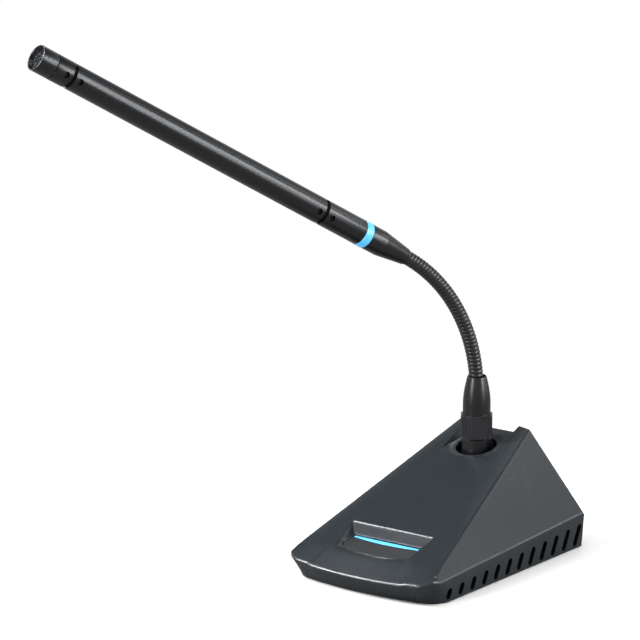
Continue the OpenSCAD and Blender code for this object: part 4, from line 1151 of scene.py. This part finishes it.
class MIC_OT_neck(MicOperator):
    """Wound neck: one helical winding along the bent spine, in a length across each joint"""
    bl_idname = "mic.neck"
    bl_label = "Wound neck"

    def execute(self, context):
        n = context.scene.mic_neck
        joints, tube, side = arm_place()
        foot, pivots = joints[0], joints[1:]
        middles = [(a + b) / 2 for a, b in zip(joints, pivots)] + [tube @ Vector((0, 0, n.link / 2))]
        spine, marks, run = [foot, middles[0]], [0.0], (middles[0] - foot).length
        for pivot, a, b in zip(pivots, middles, middles[1:]):
            for t in np.linspace(0, 1, 17)[1:]:
                spine.append(a * (1 - t) ** 2 + pivot * (2 * t * (1 - t)) + b * t ** 2)
                run += (spine[-1] - spine[-2]).length
            marks.append(run)
        spine.append(tube @ Vector((0, 0, n.tail)))
        marks[-1] += (spine[-1] - spine[-2]).length
        tree = self.winding_tree()
        links = range(1, n.links + 1)
        nodes = ["neck_root"] + ["neck_link_%d" % i for i in links]
        for i in range(len(pivots)):
            mesh = bpy.data.meshes.new("spine")
            mesh.from_pydata([tuple(p) for p in spine], [(q, q + 1) for q in range(len(spine) - 1)], [])
            span = marks[i + 1] - marks[i]
            piece = nodes_piece("neck_winding_%02d" % (i + 1), tree, {
                "Start": marks[i], "Span": span, "Radius": n.diameter / 2, "Groove": n.groove, "Pitch": n.pitch,
                "Rings": int(span / n.pitch * n.rings), "Segments": n.segments + 1, "Side": side,
                "Material": material_of("neck coat")}, mesh)
            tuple(middles[i])
            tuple(middles[i + 1])
            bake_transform(piece)
            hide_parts(nodes[i])
            if i == len(pivots) - 1:
                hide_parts("neck_tip")
        return {"FINISHED"}

    def winding_tree(self):
        """A sheet rolled round a length of the spine, with a helical groove."""
        graph, read, done = geometry_tree(
            "winding", "Start Span Radius Groove Pitch Rings/Int Segments/Int Side/Vector")
        curve = graph.node("GeometryNodeMeshToCurve", {0: read("Geometry")})
        grid = graph.node("GeometryNodeMeshGrid", {
            "Size X": 1.0, "Size Y": 1.0, "Vertices X": read("Rings"), "Vertices Y": read("Segments")})
        u, w, _ = graph.parts(graph.node("GeometryNodeInputPosition"))
        around = w + 0.5
        reach = read("Start") + (u + 0.5) * read("Span")
        spot, tangent = graph.node("GeometryNodeSampleCurve", {"Curves": curve, "Length": reach},
                                   {"mode": "LENGTH"}, ("Position", "Tangent"))
        wire = abs(graph.math("SINE", (reach / read("Pitch") - around) * math.pi))
        radius = read("Radius") - read("Groove") * (1.0 - wire ** 0.55)
        turn = around * (2 * math.pi)
        up = graph.vector("CROSS_PRODUCT", read("Side"), tangent)
        flat = graph.vector("SCALE", read("Side"), graph.math("COSINE", turn) * radius)
        tall = graph.vector("SCALE", up, graph.math("SINE", turn) * radius)
        place = graph.vector("ADD", spot, graph.vector("ADD", flat, tall))
        wound = graph.node("GeometryNodeSetPosition", {"Geometry": grid, "Position": place})
        closed = graph.node("GeometryNodeMergeByDistance", {"Geometry": wound, "Distance": 1e-6})
        return done(graph.node("GeometryNodeSetShadeSmooth", {"Geometry": closed}))


# Sound slots of the tube: first angle and sweep round it, in degrees, at the front and at the rear
SLOT_SWEEPS = ((-128, 180), (-130, 225))
SCREW_TURN = math.radians(-8)  # place of the screw holes round the tube


class MIC_OT_tube(MicOperator):
    """Tail, light ring, slotted tube with its screws, front cap and woven mesh"""
    bl_idname = "mic.tube"
    bl_label = "Microphone tube"

    def execute(self, context):
        t = context.scene.mic_tube
        place = arm_place()[1]
        r, small, light = t.diameter / 2, t.tail_end / 2, t.light / 2
        bore = r - t.wall
        taper = t.tail_start + t.taper
        tail = taper + t.straight
        start = tail + t.light_width
        end = start + t.barrel
        spigot, light_seat = bore - 0.1 * MM, light - 1.8 * MM
        hose, hose_end, lead, room = 4.75 * MM, 14 * MM, 2.2 * MM, 5.7 * MM
        back, reach = hose_end + 3 * MM, start + 8 * MM
        profile = rounded([
            (hose, t.tail_start), (small, t.tail_start, 1.0), (r, taper, 0.25), (r, tail, 0.2), (light_seat, tail),
            (light_seat, start), (spigot, start), (spigot, reach), (room, reach), (room, back), (lead, back),
            (lead, hose_end), (hose, hose_end)], 5)
        seat(lathe("tail_turned", profile, 128, place, 20.0), "arm", "black_metal", "black coat", "tail_cone")
        inner = light_seat + 0.1 * MM
        profile = rounded([(inner, tail), (light, tail, 0.6), (light, start, 0.6), (inner, start)], 5)
        seat(lathe("light_ring_lens", profile, 128, place, 40.0), "arm", "ring_light", "ring light", "light_ring")
        self.barrel(t, place, start, end, bore)
        self.mouth(t, place, end, spigot)
        return {"FINISHED"}

    def mouth(self, t, place, end, spigot):
        """The cap with ridges inside its mouth, a lighter bead on its brim that is a painted highlight, and the
        mesh behind it.
        """
        r, mouth_r, mouth = t.diameter / 2, t.mouth / 2, end + t.cap
        mesh_at, seam, brim = mouth - t.mesh_depth - 0.8 * MM, end + 0.4 * MM, mouth - 0.3 * MM
        hole, low, bead_r, bead = 6.6 * MM, end - 3.6 * MM, mouth_r + 0.4 * MM, 0.32 * MM
        ridges = [(mouth_r + (0.16 * MM if i % 2 else 0.0), mouth - 0.65 * MM - 0.22 * MM * i) for i in range(11)]
        profile = [(hole, low), (spigot, low), (spigot, seam), (r, seam, 0.3), (r, brim, 0.55),
                   (bead_r, brim, 0.08)] + ridges + [(mouth_r, mesh_at), (hole, mesh_at)]
        cap = lathe("front_cap_turned", rounded(profile, 4), 128, place, 30.0)
        seat(cap, "arm", "black_metal", "black coat", "front_cap")
        section = [(bead_r + bead * math.cos(a), mouth - 0.42 * MM + bead * math.sin(a))
                   for a in np.linspace(-1.9, 4.38, 19)[:-1]]
        # The bead's lighter metal is a painted highlight on the brim
        seat(lathe("mouth_bead", section, 128, place, 60.0), "arm", "black_metal", "worn edge")
        self.woven_mesh(t, place, mesh_at)

    def barrel(self, t, place, start, end, bore):
        """The tube with its two sound slots, and the grub screws in its four holes."""
        r = t.diameter / 2
        profile = rounded([(bore, start), (r, start, 0.2), (r, end, 0.2), (bore, end)], 3)
        tube = lathe("tube_barrel", profile, 160)
        tube.data.materials.append(material_of("black coat"))
        slots = (end - t.slot_front, start + t.slot_rear)
        cutters = [self.slot_cutter(s, first, sweep, bore - 1 * MM, r + 1 * MM, t.slot)
                   for s, (first, sweep) in zip(slots, SLOT_SWEEPS)]
        hole = circle(t.screw_hole / 2, 32)
        deep, head, screw, socket = 5.0 * MM, r - 1.6 * MM, 1.7 * MM, 0.75 * MM
        socket_end = head - 0.9 * MM
        grub = [(0.0, deep), (screw - 0.2 * MM, deep), (screw, deep + 0.2 * MM), (screw, head - 0.3 * MM),
                (screw - 0.3 * MM, head), (socket + 0.05 * MM, head), (socket, socket_end), (0.0, socket_end)]
        screws = []
        for s in (slot + gap for slot in slots for gap in (-t.screw_gap, t.screw_gap)):
            turn = Matrix.Rotation(SCREW_TURN, 4, "Z") @ Matrix.Translation((0, 0, s))
            turn = turn @ Matrix.Rotation(math.pi / 2, 4, "Y")
            cutters.append(prism("screw_cut", hole, 4 * MM, 12 * MM, turn))
            screws.append(lathe("screw", grub, 40, place @ turn, 30.0))
        subtract(tube, *cutters)
        tidy(tube.data, 28.0, outward=False)
        tube.data.transform(place)
        seat(tube, "arm", "black_metal", "black coat", "mic_tube")
        grubs = join(*screws)
        grubs.name = "set_screws_turned"
        seat(grubs, "arm", "screw_steel", "dark screw", "set_screws")

    def slot_cutter(self, s, first, sweep, low, high, width):
        """A square band round part of the tube."""
        steps, half = 48, width / 2
        section = ((low, s - half), (high, s - half), (high, s + half), (low, s + half))
        verts = []
        for k in range(steps + 1):
            a = math.radians(first + sweep * k / steps)
            verts += [(radius * math.cos(a), radius * math.sin(a), z) for radius, z in section]
        ends = [range(4), range(4 * steps, 4 * steps + 4)[::-1]]
        faces = quads(steps + 1, 4, around=(False, True)) + ends
        return new_object("slot_cut", tidy(mesh_from("slot_cut", verts, faces)))

    def woven_mesh(self, t, place, low):
        """Crossing wires that pass over and under each other, trimmed to the mouth."""
        graph, read, done = geometry_tree("woven mesh", "Wires/Int Pitch Wire Radius Turn")
        last = read("Wires") - 1.0
        grid = graph.node("GeometryNodeMeshGrid", {
            "Size X": 2.0, "Size Y": 1.0, "Vertices X": 64, "Vertices Y": read("Wires")})
        x, y, _ = graph.parts(graph.node("GeometryNodeInputPosition"))
        line = graph.math("ROUND", (y + 0.5) * last)
        across = (line - last * 0.5) * read("Pitch")
        inside = read("Radius") * read("Radius") - across * across
        along = x * graph.math("SQRT", graph.math("MAXIMUM", inside, 1e-10))
        phase = along / read("Pitch") + line + last * 0.5 + read("Turn")
        wave = graph.math("COSINE", phase * math.pi) * read("Wire") * 0.5
        spot = graph.xyz(along, across, wave)
        laid = graph.node("GeometryNodeSetPosition", {"Geometry": grid, "Position": spot})
        ends = graph.node("GeometryNodeInputMeshEdgeVertices", out=("Position 1", "Position 2"))
        first, second = (graph.parts(end)[1] for end in ends)
        rung = graph.node("FunctionNodeCompare", {0: abs(first - second), 1: 1e-6},
                          {"data_type": "FLOAT", "operation": "GREATER_THAN"})
        lines = graph.node("GeometryNodeDeleteGeometry", {"Geometry": laid, "Selection": rung}, {"domain": "EDGE"})
        curves = graph.node("GeometryNodeMeshToCurve", {0: lines})
        ring = graph.node("GeometryNodeCurvePrimitiveCircle", {"Resolution": 6, "Radius": read("Wire") * 0.5})
        tubes = graph.node("GeometryNodeCurveToMesh", {"Curve": curves, "Profile Curve": ring, "Fill Caps": True})
        tree = done(graph.node("GeometryNodeSetShadeSmooth", {"Geometry": tubes}))
        radius = t.mouth / 2 - 0.15 * MM
        layers = []
        for k in range(2):
            layer = nodes_piece("mesh_wires_%d" % k, tree, {
                "Wires": int(2 * radius / t.mesh_pitch), "Pitch": t.mesh_pitch, "Wire": t.mesh_wire,
                "Radius": radius, "Turn": float(k), "Material": material_of("mesh wire")})
            layer.data.transform(Matrix.Rotation(k * math.pi / 2, 4, "Z"))
            layers.append(layer)
        mesh = join(*layers)
        mesh.name = "mouth_mesh_woven"
        mesh.data.transform(place @ Matrix.Translation((0, 0, low + 0.4 * MM)))
        seat(mesh, "arm", "mesh_steel", "mesh wire", "mouth_mesh")


# Feet and case screws, in mm from the base's front corners and from its back corners
FEET = ((18.45, 23.7), (14, 12))
CASE_SCREWS = ((16.65, 34.7), (17, 24))


class MIC_OT_fittings(MicOperator):
    """Feet and case screws under the base"""
    bl_idname = "mic.fittings"
    bl_label = "Feet and case screws"

    def execute(self, context):
        s = context.scene.mic_base
        high, hollow = s.foot_height, 0.3 * MM
        foot = rounded([(0.0, high), (7 * MM, high), (6.8 * MM, 0.0, 0.5), (4.2 * MM, 0.0, 0.15),
                        (3.8 * MM, hollow, 0.15), (0.0, hollow)], 3)
        spots = self.corners(s, FEET) + [(0, 0)]
        self.copies("feet", lathe("foot", foot, 48), spots, 0.0, "foot rubber", "foot_rubber", "rubber_feet")
        shank, end = 1.5 * MM, 11 * MM
        head = rounded([(0.0, end), (shank, end), (shank, 0.0), (3 * MM, 0.0, 0.1), (2.9 * MM, -0.75 * MM, 0.3),
                        (2.1 * MM, -1.15 * MM, 0.3), (0.0, -1.2 * MM)], 3)
        screw = lathe("screw", head, 40)
        half, wide = 1.55 * MM, 0.32 * MM
        bar = [(-half, -wide), (half, -wide), (half, wide), (-half, wide)]
        subtract(screw, *(prism("drive_cut", bar, -2 * MM, -0.45 * MM, Matrix.Rotation(a, 4, "Z"))
                          for a in (0, math.pi / 2)))
        tidy(screw.data, 30.0, outward=False)
        spots = self.corners(s, CASE_SCREWS)
        self.copies("case_screws", screw, spots, high, "dark screw", "screw_steel", "bottom_screws")
        return {"FINISHED"}

    def corners(self, s, insets):
        """Spots on the right, in from the front corner and from the back corner."""
        (x0, y0), (x1, y1) = insets
        return [(s.width_front / 2 - x0 * MM, -s.depth / 2 + y0 * MM),
                (s.width_back / 2 - x1 * MM, s.depth / 2 - y1 * MM)]

    def copies(self, name, item, spots, height, material, slot, node):
        """Stands copies of one mesh on spots, mirrored where they are off the middle."""
        graph, read, done = geometry_tree(name + " copies", "Item/Object Height")
        mesh = graph.node("GeometryNodeObjectInfo", {"Object": read("Item")}, out="Geometry")
        raised = graph.node("GeometryNodeTransform", {
            "Geometry": mesh, "Translation": graph.xyz(0.0, 0.0, read("Height"))})
        tree = done(graph.node("GeometryNodeInstanceOnPoints", {"Points": read("Geometry"), "Instance": raised}))
        points = bpy.data.meshes.new(name)
        points.from_pydata([(side * x, y, 0.0) for x, y in spots for side in ((-1, 1) if x else (1,))], [], [])
        values = {"Item": item, "Height": height, "Material": material_of(material)}
        piece = nodes_piece(name, tree, values, points)
        bpy.data.objects.remove(item)
        seat(piece, "base", slot, material, node)


class MIC_OT_finishes(MicOperator):
    """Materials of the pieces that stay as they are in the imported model"""
    bl_idname = "mic.finishes"
    bl_label = "Finishes"

    def execute(self, context):
        part_finishes = {
            # Darkened steel: painted shade inside the base
            "ballast steel": ["ballast_plate"],
            "screw steel": ["socket_screws", "board_screws", "key_board_screws", "jack_nut"],
            "dark plastic": ["socket_insert", "plug_insert", "rear_jack", "key_switch", "board_parts",
                             # Near black: painted shade on the sleeves seen through the tube's slots
                             "switch_plunger"],
            "slot lining": ["rear_sleeve", "front_sleeve"],
            "contact brass": ["socket_contacts", "plug_pins", "board_standoffs", "capsule"],
            "foot rubber": ["capsule_holder", "capsule_gasket"],
            "board mask": ["main_board", "key_board", "ring_led_board", "preamp_board"],
            "key light": ["key_leds"],
        }
        for material, nodes in part_finishes.items():
            for node in nodes:
                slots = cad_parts[node].data.materials
                slots.clear()
                slots.append(material_of(material))
        return {"FINISHED"}


# The photograph's camera: focal length and frame in pixels, film width in mm, place, turn and tilt
FOCAL, FRAME, FILM = 4008.0, 640.0, 36.0
CAMERA_AT, CAMERA_TURN, CAMERA_TILT = (1.38685, -1.99818, 0.76654), 0.636, 0.245
WHITE = (1, 1, 1, 1)
FLOOR = 6.0  # half the floor's width
FADE = (0.16, 0.42)  # distances over which the ground turns to plain white
BOUNCE = 0.28  # share of the ground's tone that lights the object
AIM = 0.12  # height of the point that the lamps face
LAMP_TINT = (0.94, 0.97, 1.0)
# Soft boxes: direction round from +X and up, in degrees, distance, width, height and brightness
BOXES = {
    "overhead box": (-60, 70, 2.0, 1.5, 1.5, 2.6),
    "right box": (27, 17, 2.5, 0.9, 0.6, 16.0),
    "side box": (60, 27, 2.4, 0.6, 0.4, 4.0),
    "lip box": (50, 3, 2.4, 0.5, 0.16, 9.0),
    "left box": (-143, 42, 2.0, 0.42, 0.36, 85.0),
    "scoop box": (-176, 53, 2.0, 0.35, 0.35, 2.2),
    "mouth box": (-175, 18, 2.4, 0.5, 0.4, 9.0),
    "crest box": (113, 46, 2.2, 0.35, 0.35, 18.0),
    "left strip": (-105, 14, 2.4, 0.4, 1.0, 26.0),
    "front strip": (6, 14, 2.4, 0.35, 1.0, 24.0),
}


class MIC_OT_stage(MicOperator):
    """White studio: floor, soft boxes, world and camera"""
    bl_idname = "mic.stage"
    bl_label = "Studio"

    def execute(self, context):
        scene = context.scene
        scene.view_settings.view_transform = "Standard"
        tone = scene.mic_finish.ground
        corners = [(-FLOOR, -FLOOR, 0), (FLOOR, -FLOOR, 0), (FLOOR, FLOOR, 0), (-FLOOR, FLOOR, 0)]
        floor = new_object("floor", mesh_from("floor", corners, [(0, 1, 2, 3)]))
        material, graph, place = finish("studio ground")
        seen = graph.node("ShaderNodeLightPath", out="Is Camera Ray")
        lit = graph.node("ShaderNodeBsdfDiffuse", {"Color": graph.blend(seen, rgba(tone, BOUNCE), rgba(tone))})
        white = graph.node("ShaderNodeEmission", {"Color": WHITE, "Strength": 1.0})
        away = graph.step(graph.vector("LENGTH", place, out="Value"), *FADE)
        shader = graph.node("ShaderNodeMixShader", {0: away * seen, 1: lit, 2: white})
        graph.node("ShaderNodeOutputMaterial", {"Surface": shader})
        floor.data.materials.append(material)
        self.world(scene)
        self.lamps()
        self.camera(scene)
        return {"FINISHED"}

    def world(self, scene):
        """White for the camera; reflections see a white backdrop up to some height and a dim room above it."""
        world = bpy.data.worlds.new("studio")
        world.use_nodes = True
        scene.world = world
        graph = Graph(world.node_tree)
        seen, gloss = graph.node("ShaderNodeLightPath", out=("Is Camera Ray", "Is Glossy Ray"))
        rise = graph.parts(graph.node("ShaderNodeTexCoord", out="Generated"))[2]
        backdrop, darker, fill = 0.75, 0.68, 0.35
        mirrored = backdrop - graph.step(rise, 0.34, 0.58) * darker
        level = seen + (1.0 - seen) * (gloss * mirrored + (1.0 - gloss) * fill)
        back = graph.node("ShaderNodeBackground", {"Color": WHITE, "Strength": level})
        graph.node("ShaderNodeOutputWorld", {"Surface": back})

    def lamps(self):
        """The soft boxes, each facing the object."""
        for name, (turn, rise, far, wide, tall, level) in BOXES.items():
            turn, rise = math.radians(turn), math.radians(rise)
            away = Vector((math.cos(rise) * math.cos(turn), math.cos(rise) * math.sin(turn), math.sin(rise)))
            lamp = bpy.data.lights.new(name, "AREA")
            lamp.shape = "RECTANGLE"
            lamp.size, lamp.size_y = wide, tall
            lamp.energy = level * math.pi * wide * tall
            lamp.color = LAMP_TINT
            spot = Matrix.Translation(far * away + Vector((0, 0, AIM)))
            new_object(name, lamp).matrix_world = spot @ away.to_track_quat("Z", "Y").to_matrix().to_4x4()

    def camera(self, scene):
        lens = bpy.data.cameras.new("camera")
        lens.sensor_width = FILM
        lens.lens = FILM * FOCAL / FRAME
        lens.clip_end = 50.0
        camera = new_object("camera", lens)
        across, tilt = (math.cos(CAMERA_TURN), math.sin(CAMERA_TURN)), CAMERA_TILT
        right = Vector((*across, 0))
        up = Vector((-across[1] * math.sin(tilt), across[0] * math.sin(tilt), math.cos(tilt)))
        place = Matrix((right, up, right.cross(up))).transposed().to_4x4()
        camera.matrix_world = Matrix.Translation(CAMERA_AT) @ place
        scene.camera = camera


class MIC_PT_panel(bpy.types.Panel):
    """Sizes, finishes and steps of the desk microphone"""
    bl_idname = "MIC_PT_panel"
    bl_label = "Desk Microphone"
    bl_space_type = "VIEW_3D"
    bl_region_type = "UI"
    bl_category = "Microphone"

    def draw(self, context):
        for step in STEPS:
            self.layout.operator(step.bl_idname)
        for name, group in GROUPS.items():
            box = self.layout.box()
            for key in group.__annotations__:
                box.prop(getattr(context.scene, name), key)


STEPS = (MIC_OT_base, MIC_OT_key, MIC_OT_connector, MIC_OT_neck, MIC_OT_tube, MIC_OT_fittings, MIC_OT_finishes,
         MIC_OT_stage)
CLASSES = tuple(GROUPS.values()) + STEPS + (MIC_PT_panel,)


def register():
    for item in CLASSES:
        bpy.utils.register_class(item)
    for name, group in GROUPS.items():
        setattr(bpy.types.Scene, name, PointerProperty(type=group))


def unregister():
    for name in GROUPS:
        delattr(bpy.types.Scene, name)
    for item in reversed(CLASSES):
        bpy.utils.unregister_class(item)


def main():
    register()
    bpy.ops.mic.stage()
    bpy.ops.mic.base()
    bpy.ops.mic.key()
    bpy.ops.mic.connector()
    bpy.ops.mic.neck()
    bpy.ops.mic.tube()
    bpy.ops.mic.fittings()
    bpy.ops.mic.finishes()


if __name__ == "__main__":
    main()
